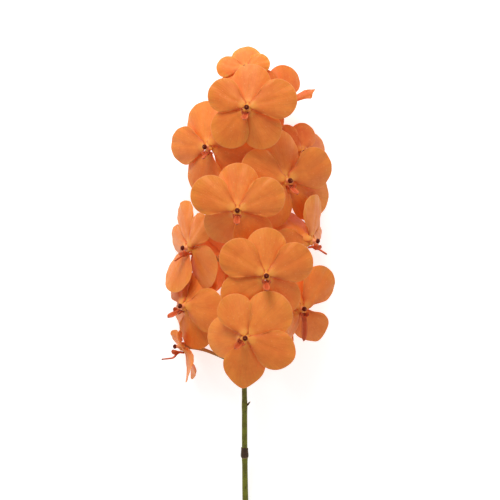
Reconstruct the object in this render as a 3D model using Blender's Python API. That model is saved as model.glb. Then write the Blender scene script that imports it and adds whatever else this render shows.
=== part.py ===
"""A cut spray of an orange vanda orchid, lying on its back on a flat surface.

Metres, +Z up. +Y runs along the spray from the cut end of the stem to the top blooms, and
the side of the spray that is looked at faces +Z. Every bloom has five tepals grown on one
receptacle, a lip with its spur, and a column, and the pedicels grow from the stem.
"""

import math
from dataclasses import dataclass, replace

import bpy
import numpy as np
from mathutils import Matrix, Vector

MM = 0.001

# One full-sized bloom, in millimetres, in its own frame: X to its right, Y to the tip of
# the dorsal sepal, Z out of its face, with the middle of the receptacle at the origin.
TEPAL_THICKNESS = 0.8
BASE_THICKNESS = 2.0
REFLEX = 0.12
CUP = -2.6
PETAL_CUP = -1.0
POINT_SPREAD = 0.45
CLAW_SHARE = 0.8
WAVE = 0.5
TEPAL_COLUMNS = 8
TEPAL_ROWS = (0.0, 0.2, 0.5, 1.0)
RECEPTACLE_RADIUS = 3.2
RECEPTACLE_FRONT = 1.7
RECEPTACLE_BACK = -3.0
CLAW_HALF_WIDTH = 1.8
SEAT_GAP = 0.3
COLUMN_RADIUS = 1.9
COLUMN_LENGTH = 4.6
COLUMN_MIDDLE = 4.2
COLUMN_PROFILE = ((0.0, 1.0), (0.45, 0.8), (0.7, 0.98), (0.92, 0.75), (1.0, 0.4))
SPUR_PATH = ((0.0, -5.0, -2.6), (0.0, -4.5, -0.9), (0.0, -4.3, 0.8))
TONGUE_PATH = ((0.0, -4.9, 3.6), (0.0, -6.9, 7.0), (0.0, -8.4, 9.8), (0.0, -9.6, 12.0))
FORWARD_TONGUE = ((0.0, -4.9, 3.2), (0.0, -8.4, 5.4), (0.0, -9.8, 10.0), (0.0, -10.4, 14.6))
HANGING_TONGUE = ((0.0, -4.9, 3.6), (0.0, -11.0, 5.4), (0.0, -17.4, 6.0), (0.0, -23.4, 5.6))
SPUR_RADII = (0.6, 0.95, 1.15)
TONGUE_RADII = ((1.0, 1.5), (0.8, 2.4), (0.7, 2.9), (0.6, 1.5))
SIDE_LOBE_PATH = ((0.9, -4.9, 4.2), (3.1, -4.3, 6.4))
SIDE_LOBE_RADII = (0.9, 0.6)

# The stem and the pedicels, in millimetres.
STEM_RADIUS = 2.3
RACHIS_TIP_RADIUS = 1.3
PEDICEL_RADIUS = 0.95
OVARY_RADIUS = 1.5
SHEATH_MIDDLE = -119.0
SHEATH_LENGTH = 7.4
SHEATH_GUIDE = (0.3, 0.0, 1.0)
SPIKE_BRACT = -83.0
BRACT_LENGTH = 4.6
BRACT_RADII = (1.2, 1.0, 0.35)
BRACT_BELOW = 2.6
STEM_SIDES = 7
STEM_STEPS = 20
PEDICEL_SIDES = 5
PEDICEL_STEPS = 5


@dataclass(frozen=True)
class Tepal:
    """The outline and the bend of one sepal or petal, in millimetres and degrees.

    The angle is where it grows round the receptacle, anticlockwise from the bloom's right.
    The lift leans it forward, the turn bends it aside, and the twist turns it edge-on. The
    inset narrows its claw on one side, to let the spur by, and the point lengthens its
    tip. The cup is how far the edge of the one side falls, the other cup that of the
    other side, and the reflex how far it bends back towards the tip.
    """

    length: float
    half_width: float
    angle: float
    base: float
    lift: float
    inset: float = 0.0
    turn: float = 0.0
    twist: float = 0.0
    point: float = 0.0
    cup: float = CUP
    other_cup: float = CUP
    reflex: float = REFLEX


DORSAL_SEPAL = Tepal(length=33.0, half_width=14.0, angle=90.0, base=-0.4, lift=-8.0)
LEFT_PETAL = Tepal(
    length=35.5, half_width=14.0, angle=151.0, base=1.1, lift=-2.0, other_cup=PETAL_CUP
)
RIGHT_PETAL = Tepal(
    length=35.5, half_width=14.0, angle=29.0, base=1.1, lift=-2.0, cup=PETAL_CUP
)
LEFT_LATERAL = Tepal(
    length=35.0, half_width=15.0, angle=233.0, base=-0.7, lift=-9.0, inset=1.7
)
RIGHT_LATERAL = Tepal(
    length=35.0, half_width=15.0, angle=307.0, base=-1.6, lift=-11.0, inset=-1.7
)
TEPALS = (DORSAL_SEPAL, LEFT_PETAL, RIGHT_PETAL, LEFT_LATERAL, RIGHT_LATERAL)


@dataclass(frozen=True)
class Bloom:
    """Where one bloom sits, where it faces, and how its tepals are held.

    The place is the middle of its column, in millimetres, and the turn is its yaw, pitch and
    roll in degrees. The joint is where its stalk leaves the stem, along Y. The lists give,
    in the order of TEPALS, what is added to each lift, turn and twist, the size, the
    width for that size, and how much longer the tip is. The reflex is that of all five
    tepals, and the tongue is the middle line of the lip's tongue.
    """

    name: str
    place: tuple
    turn: tuple
    scale: float
    joint: float
    lifts: tuple = (0.0, 0.0, 0.0, 0.0, 0.0)
    turns: tuple = (0.0, 0.0, 0.0, 0.0, 0.0)
    twists: tuple = (0.0, 0.0, 0.0, 0.0, 0.0)
    sizes: tuple = (1.0, 1.0, 1.0, 1.0, 1.0)
    widths: tuple = (1.0, 1.0, 1.0, 1.0, 1.0)
    points: tuple = (0.0, 0.0, 0.0, 0.0, 0.0)
    reflex: float = REFLEX
    tongue: tuple = TONGUE_PATH


BLOOMS = (
    Bloom(
        "bloom_01",
        place=(-54.5, -39.3, 27.0),
        turn=(-76.0, 2.0, 0.0),
        scale=0.95,
        joint=-52.0,
        lifts=(-45.0, -5.0, 0.0, -34.0, -8.0),
        turns=(0.0, 0.0, -9.0, 5.0, -1.0),
        sizes=(0.4, 0.5, 0.6, 0.8, 0.8),
        widths=(1.0, 1.0, 1.0, 0.9, 0.95),
        points=(0.0, 0.0, 0.0, 2.5, 2.5),
        reflex=-0.35,
        tongue=FORWARD_TONGUE,
    ),
    Bloom(
        "bloom_02",
        place=(-3.4, -30.4, 95.0),
        turn=(-3.0, 0.0, 45.0),
        scale=1.00,
        joint=-48.0,
        lifts=(12.0, 0.0, 4.0, -20.0, 0.0),
        turns=(0.0, 6.0, -6.0, -9.0, 4.0),
        sizes=(1.2, 0.92, 1.02, 1.0, 1.0),
        points=(0.0, 0.0, 1.0, 0.0, 3.5),
    ),
    Bloom(
        "bloom_03",
        place=(39.0, -10.9, 52.0),
        turn=(26.0, -5.0, 0.0),
        scale=0.97,
        joint=-38.0,
        lifts=(0.0, 0.0, 6.0, 15.0, 0.0),
        turns=(18.0, 0.0, 22.0, 10.0, 2.0),
        twists=(0.0, 0.0, 0.0, 38.0, -38.0),
        sizes=(1.0, 1.0, 1.04, 0.95, 0.95),
        points=(0.0, 0.0, 0.0, 3.0, 3.5),
        tongue=HANGING_TONGUE,
    ),
    Bloom(
        "bloom_04",
        place=(-50.6, -9.1, 43.0),
        turn=(-37.0, 3.0, 28.0),
        scale=1.00,
        joint=-28.0,
        lifts=(-5.0, -14.0, 6.0, -21.0, 0.0),
        turns=(0.0, 0.0, -8.0, 10.0, 6.0),
        sizes=(0.95, 0.92, 1.04, 0.8, 0.95),
        widths=(1.0, 1.0, 1.1, 1.0, 1.0),
    ),
    Bloom(
        "bloom_05",
        place=(13.4, -17.4, 10.0),
        turn=(160.0, 10.0, 0.0),
        scale=0.88,
        joint=-17.0,
    ),
    Bloom(
        "bloom_06",
        place=(11.5, 13.5, 94.0),
        turn=(5.0, -3.0, 3.0),
        scale=1.02,
        joint=-5.0,
        lifts=(6.0, 0.0, 0.0, 0.0, 0.0),
        turns=(0.0, -1.0, -2.0, -8.0, 0.0),
        sizes=(1.0, 1.0, 1.0, 1.05, 1.0),
    ),
    Bloom(
        "bloom_07",
        place=(-48.5, 33.2, 40.0),
        turn=(-60.0, 0.0, -14.0),
        scale=1.00,
        joint=12.0,
        lifts=(10.0, 0.0, 0.0, 34.0, 8.0),
        turns=(14.0, 0.0, 6.0, -1.0, -2.0),
        sizes=(1.14, 1.0, 0.84, 0.98, 1.0),
        widths=(0.8, 0.8, 1.0, 1.0, 1.0),
    ),
    Bloom(
        "bloom_08",
        place=(48.5, 38.2, 48.0),
        turn=(62.0, 0.0, 8.0),
        scale=1.00,
        joint=32.0,
        lifts=(18.0, -46.0, -4.0, -18.0, -28.0),
        turns=(0.0, -30.0, -6.0, -25.0, -10.0),
        sizes=(1.02, 1.05, 0.8, 1.0, 0.9),
    ),
    Bloom(
        "bloom_09",
        place=(-16.4, 28.7, 8.6),
        turn=(145.0, 10.0, 0.0),
        scale=0.90,
        joint=32.0,
    ),
    Bloom(
        "bloom_10",
        place=(-9.0, 59.7, 85.0),
        turn=(0.0, -2.0, 2.0),
        scale=1.00,
        joint=44.0,
        lifts=(0.0, 0.0, 0.0, -18.0, 1.0),
        turns=(0.0, 2.0, -2.0, -6.0, 0.0),
        sizes=(1.05, 1.02, 1.02, 0.95, 0.97),
    ),
    Bloom(
        "bloom_11",
        place=(28.7, 81.7, 58.0),
        turn=(28.0, 0.0, -9.0),
        scale=1.04,
        joint=56.0,
        lifts=(0.0, 0.0, 8.0, 12.0, 6.0),
        turns=(0.0, -2.0, -15.0, -2.0, 21.0),
        sizes=(1.14, 1.0, 1.06, 1.0, 1.2),
        widths=(1.0, 1.0, 1.0, 1.05, 1.0),
    ),
    Bloom(
        "bloom_12",
        place=(39.6, 103.6, 33.0),
        turn=(20.0, 5.0, 14.0),
        scale=0.85,
        joint=68.0,
        lifts=(0.0, 0.0, -26.0, 0.0, 0.0),
        sizes=(0.85, 0.85, 1.0, 1.0, 1.0),
    ),
    Bloom(
        "bloom_13",
        place=(-32.4, 106.0, 58.0),
        turn=(-32.0, 0.0, -24.0),
        scale=1.00,
        joint=80.0,
        turns=(0.0, 0.0, -18.0, -8.0, 4.0),
        sizes=(1.12, 1.0, 1.0, 1.1, 1.08),
    ),
    Bloom(
        "bloom_14",
        place=(8.9, 94.9, 9.0),
        turn=(215.0, 10.0, 0.0),
        scale=0.90,
        joint=100.0,
    ),
    Bloom(
        "bloom_15",
        place=(-2.4, 132.9, 84.0),
        turn=(-6.0, 2.0, 6.0),
        scale=1.00,
        joint=104.0,
        turns=(0.0, 6.0, -6.0, 0.0, 2.0),
        sizes=(1.0, 0.88, 1.02, 0.97, 0.94),
    ),
    Bloom(
        "bloom_16",
        place=(26.9, 140.1, 44.0),
        turn=(20.0, 4.0, 8.0),
        scale=0.88,
        joint=136.0,
        lifts=(0.0, 0.0, -6.0, 0.0, -38.0),
        turns=(0.0, 0.0, 2.0, 0.0, -6.0),
        twists=(0.0, 0.0, 60.0, 0.0, 0.0),
        sizes=(1.0, 1.0, 0.78, 1.0, 0.65),
        widths=(1.0, 1.0, 0.5, 1.0, 1.0),
        points=(0.0, 0.0, 6.0, 0.0, 0.0),
    ),
    Bloom(
        "bloom_17",
        place=(-3.6, 164.3, 50.0),
        turn=(-4.0, 30.0, 0.0),
        scale=0.78,
        joint=128.0,
        turns=(0.0, 10.0, 8.0, 0.0, 0.0),
        sizes=(1.0, 0.8, 0.72, 1.0, 1.0),
    ),
)

STEM_ROUTE = (
    (-2.6, -181.0, 2.2),
    (-3.6, -150.0, 5.0),
    (-4.0, -110.0, 14.0),
    (-4.0, -75.0, 26.0),
    (-5.0, -45.0, 33.0),
    (-4.0, 20.0, 38.0),
    (-2.0, 80.0, 38.0),
    (-1.0, 120.0, 38.0),
    (-1.0, 138.0, 38.0),
)


def smooth(x):
    """A step from 0 to 1 with level ends."""
    x = np.clip(x, 0.0, 1.0)
    return x * x * (3.0 - 2.0 * x)


def tepal_set(bloom):
    """The five tepals of one bloom, as they are held there."""
    made = []
    for k, kind in enumerate(TEPALS):
        size = bloom.sizes[k]
        made.append(
            replace(
                kind,
                length=kind.length * size,
                half_width=kind.half_width * size * bloom.widths[k],
                lift=kind.lift + bloom.lifts[k],
                turn=bloom.turns[k],
                twist=bloom.twists[k],
                point=bloom.points[k],
                reflex=bloom.reflex,
            )
        )
    return made


def tepal_sheet(tepal, u, v):
    """Points of a tepal's middle surface, for arrays u from base to tip and v across.

    The outline is an ellipse seen from the base: its points at angle psi are carried
    towards the base by u, and drawn in towards the axis near the claw. The surface
    leans by the lift, bends by the reflex towards the tip, and its edges fall and wave. Past the
    claw the blade turns aside in its own plane, and it twists about its own axis.
    """
    across = tepal.half_width
    along = across * 1.05
    middle = tepal.length - along
    psi = v * math.acos(-along / middle)
    reach = (middle + along * np.cos(psi)) * (1.0 - RECEPTACLE_RADIUS / tepal.length)
    reach = reach + tepal.point * np.exp(-((psi / POINT_SPREAD) ** 2))
    r = RECEPTACLE_RADIUS + u * reach
    claw = CLAW_SHARE + (1.0 - CLAW_SHARE) * smooth(r / (0.45 * tepal.length))
    t = u * across * np.sin(psi) * claw
    t = t + CLAW_HALF_WIDTH * v * (1.0 - u) ** 1.5
    t = t + tepal.inset * np.clip(-np.sign(tepal.inset) * v, 0.0, 1.0) * (1.0 - u)
    part = r / tepal.length
    n = np.where(v < 0.0, tepal.cup, tepal.other_cup) * (t / across) ** 2
    n = n + WAVE * part**2 * np.sin(2.0 * psi + tepal.angle)
    twist = math.radians(tepal.twist) * smooth(2.5 * u)
    n, t = n * np.cos(twist) + t * np.sin(twist), t * np.cos(twist) - n * np.sin(twist)
    n = n + tepal.base - tepal.reflex * tepal.length * part**2
    lean = math.radians(tepal.lift) * smooth(3.0 * u + 0.4)
    out = r * np.cos(lean) - n * np.sin(lean)
    front = r * np.sin(lean) + n * np.cos(lean)
    turn = np.radians(tepal.angle + tepal.turn * smooth(2.5 * u))
    x = out * np.cos(turn) + t * np.sin(turn)
    y = out * np.sin(turn) - t * np.cos(turn)
    return np.stack([x, y, front], axis=-1)


def facing(bloom):
    """The matrix from a bloom's own frame to the world, in metres."""
    yaw, pitch, roll = (math.radians(a) for a in bloom.turn)
    face = Vector(
        (math.sin(yaw) * math.cos(pitch), math.sin(pitch), math.cos(yaw) * math.cos(pitch))
    )
    up = Vector((0.0, 1.0, 0.0)) - face * face.y
    up.normalize()
    right = up.cross(face)
    dorsal = up * math.cos(roll) + right * math.sin(roll)
    side = dorsal.cross(face)
    turn = Matrix((side, dorsal, face)).transposed().to_4x4()
    middle = Vector(bloom.place) - face * COLUMN_MIDDLE * bloom.scale
    place = Matrix.Translation(middle * MM)
    return place @ turn @ Matrix.Scale(bloom.scale * MM, 4)


def material(name, colour, roughness):
    """A Principled material with one colour."""
    found = bpy.data.materials.get(name)
    if found:
        return found
    made = bpy.data.materials.new(name)
    made.use_nodes = True
    shader = made.node_tree.nodes["Principled BSDF"]
    shader.inputs["Base Color"].default_value = (*colour, 1.0)
    shader.inputs["Roughness"].default_value = roughness
    return made


def blade_faces(rows, columns, first):
    """Faces of one blade whose base row is left open, with its first point's number.

    The upper points come first, row by row, then the under points in the same order.
    """
    under = rows * columns
    faces = []
    for i in range(rows - 1):
        for j in range(columns - 1):
            a = first + i * columns + j
            b, c, d = a + 1, a + columns + 1, a + columns
            faces += [(a, c, d), (a, b, c)]
            faces += [(a + under, d + under, c + under), (a + under, c + under, b + under)]
    rim = [i * columns + columns - 1 for i in range(rows)]
    rim += [(rows - 1) * columns + j for j in range(columns - 2, -1, -1)]
    rim += [i * columns for i in range(rows - 2, -1, -1)]
    for a, b in zip(rim, rim[1:]):
        a, b = a + first, b + first
        faces.append((b, a, a + under, b + under))
    return faces


def tepals_mesh(name, sheets, halves):
    """One closed skin for blades in turn round a receptacle, thick by halves per row.

    The base rows of the blades, taken anticlockwise, are the rim of the receptacle. Its
    front and its back are fans from a middle point.
    """
    rows, columns = sheets[0].shape[:2]
    under = rows * columns
    points = []
    faces = []
    rim = []
    for sheet in sheets:
        first = len(points)
        half = np.zeros((rows, columns, 3))
        half[:, :, 2] = np.array(halves)[:, None]
        points += [tuple(p) for p in (sheet + half).reshape(-1, 3)]
        points += [tuple(p) for p in (sheet - half).reshape(-1, 3)]
        faces += blade_faces(rows, columns, first)
        rim += [first + j for j in range(columns - 1, -1, -1)]
    front = len(points)
    points += [(0.0, 0.0, RECEPTACLE_FRONT), (0.0, 0.0, RECEPTACLE_BACK)]
    for k, (a, b) in enumerate(zip(rim, rim[1:] + rim[:1])):
        faces.append((front, a, b))
        faces.append((front + 1, b + under, a + under))
        if k % columns == columns - 1:
            faces.append((b, a, a + under, b + under))
    mesh = bpy.data.meshes.new(name)
    mesh.from_pydata(points, [], faces)
    return mesh


def loft_mesh(name, rings):
    """A closed skin through rings of the same number of points, capped at both ends."""
    sides = len(rings[0])
    points = [tuple(p) for ring in rings for p in ring]
    faces = []
    for i in range(len(rings) - 1):
        for j in range(sides):
            a = i * sides + j
            b = i * sides + (j + 1) % sides
            faces.append((a, b, b + sides, a + sides))
    faces.append(tuple(range(sides - 1, -1, -1)))
    last = (len(rings) - 1) * sides
    faces.append(tuple(range(last, last + sides)))
    mesh = bpy.data.meshes.new(name)
    mesh.from_pydata(points, [], faces)
    return mesh


def ring(centre, axis, guide, radii, sides):
    """Points of an oval round a centre, across an axis; the guide sets where it starts."""
    axis = Vector(axis).normalized()
    side = Vector(guide).cross(axis).normalized()
    up = axis.cross(side)
    points = []
    for k in range(sides):
        turn = 2.0 * math.pi * k / sides
        point = side * radii[0] * math.cos(turn) + up * radii[1] * math.sin(turn)
        points.append(Vector(centre) + point)
    return points


def tube_mesh(name, path, radii, sides, guide=(0.0, 0.0, 1.0)):
    """A closed tube along a path; a radius per point, or a pair of radii for an oval."""
    path = [Vector(p) for p in path]
    rings = []
    for i, point in enumerate(path):
        before = path[max(i - 1, 0)]
        after = path[min(i + 1, len(path) - 1)]
        pair = radii[i] if isinstance(radii[i], tuple) else (radii[i], radii[i])
        rings.append(ring(point, after - before, guide, pair, sides))
    return loft_mesh(name, rings)


def put(name, mesh, place, finish):
    """An object for a mesh, moved to its place in the world, with its material.

    What would press into the surface underneath is flattened on it.
    """
    mesh.name = name
    mesh.transform(place)
    for vertex in mesh.vertices:
        vertex.co.z = max(vertex.co.z, 0.0)
    mesh.materials.clear()
    mesh.materials.append(finish)
    mesh.shade_smooth()
    made = bpy.data.objects.new(name, mesh)
    bpy.context.scene.collection.objects.link(made)
    return made


def union(meshes):
    """One mesh from overlapping closed meshes, joined by one Boolean union."""
    pieces = bpy.data.collections.new("pieces")
    bpy.context.scene.collection.children.link(pieces)
    for mesh in meshes[1:]:
        pieces.objects.link(bpy.data.objects.new(mesh.name, mesh))
    trunk = bpy.data.objects.new("trunk", meshes[0])
    bpy.context.scene.collection.objects.link(trunk)
    join = trunk.modifiers.new("join", "BOOLEAN")
    join.operation = "UNION"
    join.operand_type = "COLLECTION"
    join.collection = pieces
    join.solver = "EXACT"
    graph = bpy.context.evaluated_depsgraph_get()
    solid = bpy.data.meshes.new_from_object(trunk.evaluated_get(graph))
    for piece in list(pieces.objects):
        bpy.data.objects.remove(piece)
    bpy.data.objects.remove(trunk)
    bpy.data.collections.remove(pieces)
    return solid


def tepals(bloom):
    """The five tepals of a bloom, grown together on the receptacle."""
    u = np.array(TEPAL_ROWS)[:, None]
    v = np.linspace(-1.0, 1.0, TEPAL_COLUMNS + 1)[None, :]
    blades = sorted(tepal_set(bloom), key=lambda tepal: tepal.angle)
    sheets = [tepal_sheet(tepal, u, v) for tepal in blades]
    halves = [TEPAL_THICKNESS / 2.0] * len(TEPAL_ROWS)
    halves[0] = BASE_THICKNESS / 2.0
    mesh = tepals_mesh("tepals", sheets, halves)
    orange = material("tepal_orange", (0.80, 0.22, 0.035), 0.5)
    return put(bloom.name + "_tepals", mesh, facing(bloom), orange)


def lip(bloom):
    """The lip: the spur, the tongue that comes forward and down, and two side lobes."""
    path = SPUR_PATH + bloom.tongue
    radii = SPUR_RADII + TONGUE_RADII
    meshes = [tube_mesh("tongue", path, radii, 6, (1.0, 0.0, 0.0))]
    for side in (-1.0, 1.0):
        lobe_path = [(side * x, y, z) for x, y, z in SIDE_LOBE_PATH]
        meshes.append(tube_mesh("side_lobe", lobe_path, SIDE_LOBE_RADII, 4))
    red = material("lip_red", (0.42, 0.05, 0.02), 0.45)
    return put(bloom.name + "_lip", union(meshes), facing(bloom), red)


def column(bloom):
    """The column with the anther cap at its end."""
    start = RECEPTACLE_FRONT + SEAT_GAP
    path = [(0.0, 0.0, start + COLUMN_LENGTH * share) for share, _ in COLUMN_PROFILE]
    radii = [COLUMN_RADIUS * wide for _, wide in COLUMN_PROFILE]
    body = tube_mesh("column", path, radii, 6, (0.0, 1.0, 0.0))
    brown = material("column_brown", (0.10, 0.012, 0.004), 0.4)
    return put(bloom.name + "_column", body, facing(bloom), brown)


def stem_point(y):
    """The place on the stem's middle line at a distance along Y, in millimetres."""
    ys = [p[1] for p in STEM_ROUTE]
    x = float(np.interp(y, ys, [p[0] for p in STEM_ROUTE]))
    return Vector((x, y, float(np.interp(y, ys, [p[2] for p in STEM_ROUTE]))))


def pedicel(bloom):
    """The stalk of one bloom, from inside the stem to the back of the receptacle."""
    start = stem_point(bloom.joint)
    turn = facing(bloom)
    back = turn.to_3x3() @ Vector((0.0, 0.0, -1.0))
    back.normalize()
    end = turn @ Vector((0.0, 0.0, RECEPTACLE_BACK)) / MM + back * SEAT_GAP
    reach = (end - start).length
    out = end - start
    out.y *= 0.5
    first = start + out.normalized() * reach * 0.4
    last = end + back * reach * 0.45
    path = []
    radii = []
    for k in range(PEDICEL_STEPS + 1):
        s = k / PEDICEL_STEPS
        a, b = (1.0 - s) ** 3, 3.0 * s * (1.0 - s) ** 2
        c, d = 3.0 * s**2 * (1.0 - s), s**3
        path.append(start * a + first * b + last * c + end * d)
        radii.append(PEDICEL_RADIUS + (OVARY_RADIUS - PEDICEL_RADIUS) * smooth(s * 1.6 - 0.5))
    return tube_mesh("pedicel", path, radii, PEDICEL_SIDES, (0.0, 1.0, 0.0))


def sheath():
    """The dry bract that wraps the lower stem."""
    ends = (SHEATH_MIDDLE - SHEATH_LENGTH / 2.0, SHEATH_MIDDLE + SHEATH_LENGTH / 2.0)
    path = [stem_point(ends[0] + (ends[1] - ends[0]) * share) for share in (0.0, 0.3, 1.0)]
    radii = [STEM_RADIUS + grown for grown in (0.1, 0.7, 0.3)]
    return tube_mesh("sheath", path, radii, STEM_SIDES, SHEATH_GUIDE)


def bract(y, out):
    """A small pointed scale on the stem, at a distance along Y, on the side given by out."""
    start = stem_point(y)
    out = Vector(out).normalized()
    path = [start, start + out * 2.4, start + (out + Vector((0.0, 0.4, 0.0))) * BRACT_LENGTH]
    return tube_mesh("bract", path, BRACT_RADII, 4, (0.0, 1.0, 0.2))


def stem():
    """The stem with its bracts, and with every pedicel grown from it."""
    low, high = STEM_ROUTE[0][1], STEM_ROUTE[-1][1]
    shares = [k / STEM_STEPS for k in range(STEM_STEPS + 1)]
    path = [stem_point(low + (high - low) * share) for share in shares]
    radii = [STEM_RADIUS + (RACHIS_TIP_RADIUS - STEM_RADIUS) * share for share in shares]
    meshes = [tube_mesh("stem", path, radii, STEM_SIDES)]
    meshes += [sheath(), bract(SPIKE_BRACT, (1.0, 0.3, 0.3))]
    for bloom in BLOOMS:
        meshes.append(pedicel(bloom))
        out = Vector(bloom.place) - stem_point(bloom.joint)
        meshes.append(bract(bloom.joint - BRACT_BELOW, (out.x, 0.0, out.z)))
    green = material("stem_green", (0.16, 0.13, 0.03), 0.5)
    return put("stem", union(meshes), Matrix.Scale(MM, 4), green)


def main():
    """Clear the scene and build every piece."""
    for old in list(bpy.data.objects):
        bpy.data.objects.remove(old)
    stem()
    for bloom in BLOOMS:
        tepals(bloom)
        lip(bloom)
        column(bloom)


main()
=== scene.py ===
"""The looks of a cut spray of orange vanda orchids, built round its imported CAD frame.

The spray lies on its back. +Y runs from the cut end of the stem to the top blooms, and the
camera looks straight down on the side that faces +Z. Each bloom has its tepals, its lip and
its column, and the stem, the stalks and the bracts are pieces of their own. All lengths of
the flower's own parts are in millimetres, and become metres when a mesh is made.
"""

import logging
import math
from dataclasses import dataclass, field, replace
from enum import Enum
from functools import cached_property
from typing import Any

import bpy
import numpy as np
from mathutils import Matrix, Vector


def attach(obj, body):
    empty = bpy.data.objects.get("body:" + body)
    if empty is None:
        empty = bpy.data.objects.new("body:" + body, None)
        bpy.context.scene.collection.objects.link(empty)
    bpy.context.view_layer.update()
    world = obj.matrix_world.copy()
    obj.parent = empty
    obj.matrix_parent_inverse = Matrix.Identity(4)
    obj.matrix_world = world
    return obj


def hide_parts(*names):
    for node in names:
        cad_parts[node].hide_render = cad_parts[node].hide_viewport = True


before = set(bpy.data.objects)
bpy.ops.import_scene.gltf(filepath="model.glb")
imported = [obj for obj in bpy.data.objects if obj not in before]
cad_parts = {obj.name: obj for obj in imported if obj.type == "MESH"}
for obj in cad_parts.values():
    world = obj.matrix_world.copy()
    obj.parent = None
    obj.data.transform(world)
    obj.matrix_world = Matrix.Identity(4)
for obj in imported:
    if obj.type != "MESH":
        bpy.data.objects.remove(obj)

LOG = logging.getLogger("orchid")
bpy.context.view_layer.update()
ROOT = "root"
MM = 0.001
SEED = 2604
# The values of the mark "back" on the three parts of a blade.
FACE, RIM, BACK = 0.0, 0.5, 1.0
Array = np.ndarray
Colour = tuple[float, float, float]
Place = tuple[float, float, float]
Span = tuple[float, float]
Line = tuple[Span, ...]
Socket = bpy.types.NodeSocket


class Slot(Enum):
    """The record's material slots."""

    TEPAL = "tepal"
    LIP = "lip"
    COLUMN = "column"
    STEM = "stem"


class Position(Enum):
    """The five places of a tepal round the receptacle, in the order of a bloom's lists."""

    DORSAL = 0
    LEFT_PETAL = 1
    RIGHT_PETAL = 2
    LEFT_LATERAL = 3
    RIGHT_LATERAL = 4


def smooth(x: Array | float, low: float = 0.0, high: float = 1.0) -> Array:
    """A step with level ends: 3 s squared less 2 s cubed, for s from low to high.

    Args:
        x: Where to work it out.
        low: The value at which the step leaves 0.
        high: The value at which it reaches 1.

    Returns:
        Values from 0 to 1, of the shape of x.
    """
    s = np.clip((np.asarray(x, float) - low) / (high - low), 0.0, 1.0)
    return s * s * (3.0 - 2.0 * s)


def fading(x: Array | float, span: Span) -> Array:
    """A smooth step down: 1 before the span and 0 after it."""
    return 1.0 - smooth(x, *span)


def bell(x: Array | float, middle: float, width: Array | float) -> Array:
    """A bell curve: e to the minus square of the distance from the middle over the width."""
    return np.exp(-(((x - middle) / width) ** 2))


def turns_round(count: int) -> Array:
    """Angles evenly spaced round a circle, from 0."""
    return 2.0 * math.pi * np.arange(count) / count


def unit(vectors: Array) -> Array:
    """Vectors divided by their own lengths, along the last axis."""
    length = np.linalg.norm(vectors, axis=-1, keepdims=True)
    return vectors / np.maximum(length, 1e-12)


def grid_normals(points: Array) -> Array:
    """Unit normals of a grid: the slope across the columns crossed with that along the rows."""
    return unit(np.cross(np.gradient(points, axis=1), np.gradient(points, axis=0)))


def between(knots: Array, shares: Array) -> Array:
    """Values at shares along a row of knots, on straight lines from knot to knot."""
    return np.interp(shares, np.linspace(0.0, 1.0, len(knots)), knots)


def along_curve(knots: Array, shares: Array) -> Array:
    """Points on a smooth curve through knots, a Catmull-Rom spline by its cubic formula.

    Args:
        knots: The points that the curve passes, one per row.
        shares: Places along the curve, from 0 at the first knot to 1 at the last.

    Returns:
        One point per share.
    """
    knots = np.asarray(knots, float)
    spread = np.vstack([2.0 * knots[0] - knots[1], knots, 2.0 * knots[-1] - knots[-2]])
    place = np.clip(np.asarray(shares, float), 0.0, 1.0) * (len(knots) - 1)
    first = np.minimum(place.astype(int), len(knots) - 2)
    s = (place - first)[:, None]
    a, b, c, d = (spread[first + k] for k in range(4))
    straight = 2.0 * b + (c - a) * s
    bend = (2.0 * a - 5.0 * b + 4.0 * c - d) * s**2
    return 0.5 * (straight + bend + (3.0 * b - a - 3.0 * c + d) * s**3)


def grain_of(across: Array, along: Array) -> Array:
    """The place of each point of a grid, from its share across and its share along."""
    return np.stack(np.broadcast_arrays(across, along), axis=-1)


@dataclass
class Skin:
    """A closed surface on its way to a mesh.

    Points and faces are arrays, and every point carries its place on the surface (grain)
    and a few numbers for the materials (marks).
    """

    points: Array
    faces: Array
    grain: Array
    marks: dict[str, Array] = field(default_factory=dict)

    def marked(self, **values: Array | float) -> "Skin":
        """The same skin with more marks, a number each or one number per point."""
        more = {k: np.full(len(self.points), v, dtype=float) for k, v in values.items()}
        return replace(self, marks={**self.marks, **more})


def joined(skins: list[Skin]) -> Skin:
    """One skin from several, which keep their own points.

    Args:
        skins: The skins, which all have the same marks.

    Returns:
        The skin of them all.
    """
    starts = np.cumsum([0] + [len(s.points) for s in skins[:-1]])
    return Skin(
        np.concatenate([s.points for s in skins]),
        np.concatenate([s.faces + start for s, start in zip(skins, starts)]),
        np.concatenate([s.grain for s in skins]),
        {name: np.concatenate([s.marks[name] for s in skins]) for name in skins[0].marks},
    )


def quads(rows: int, columns: int, wrap: bool = False) -> Array:
    """Four corners for each cell of a grid of points numbered row by row.

    Args:
        rows: How many rows of points there are.
        columns: How many points a row has.
        wrap: Whether the last column is joined to the first.

    Returns:
        One face per row, turned so that columns crossed with rows point outwards.
    """
    i, j = np.meshgrid(
        np.arange(rows - 1), np.arange(columns if wrap else columns - 1), indexing="ij"
    )
    k = (j + 1) % columns
    corners = [i * columns + j, i * columns + k, (i + 1) * columns + k, (i + 1) * columns + j]
    return np.stack([c.ravel() for c in corners], axis=1)


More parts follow.
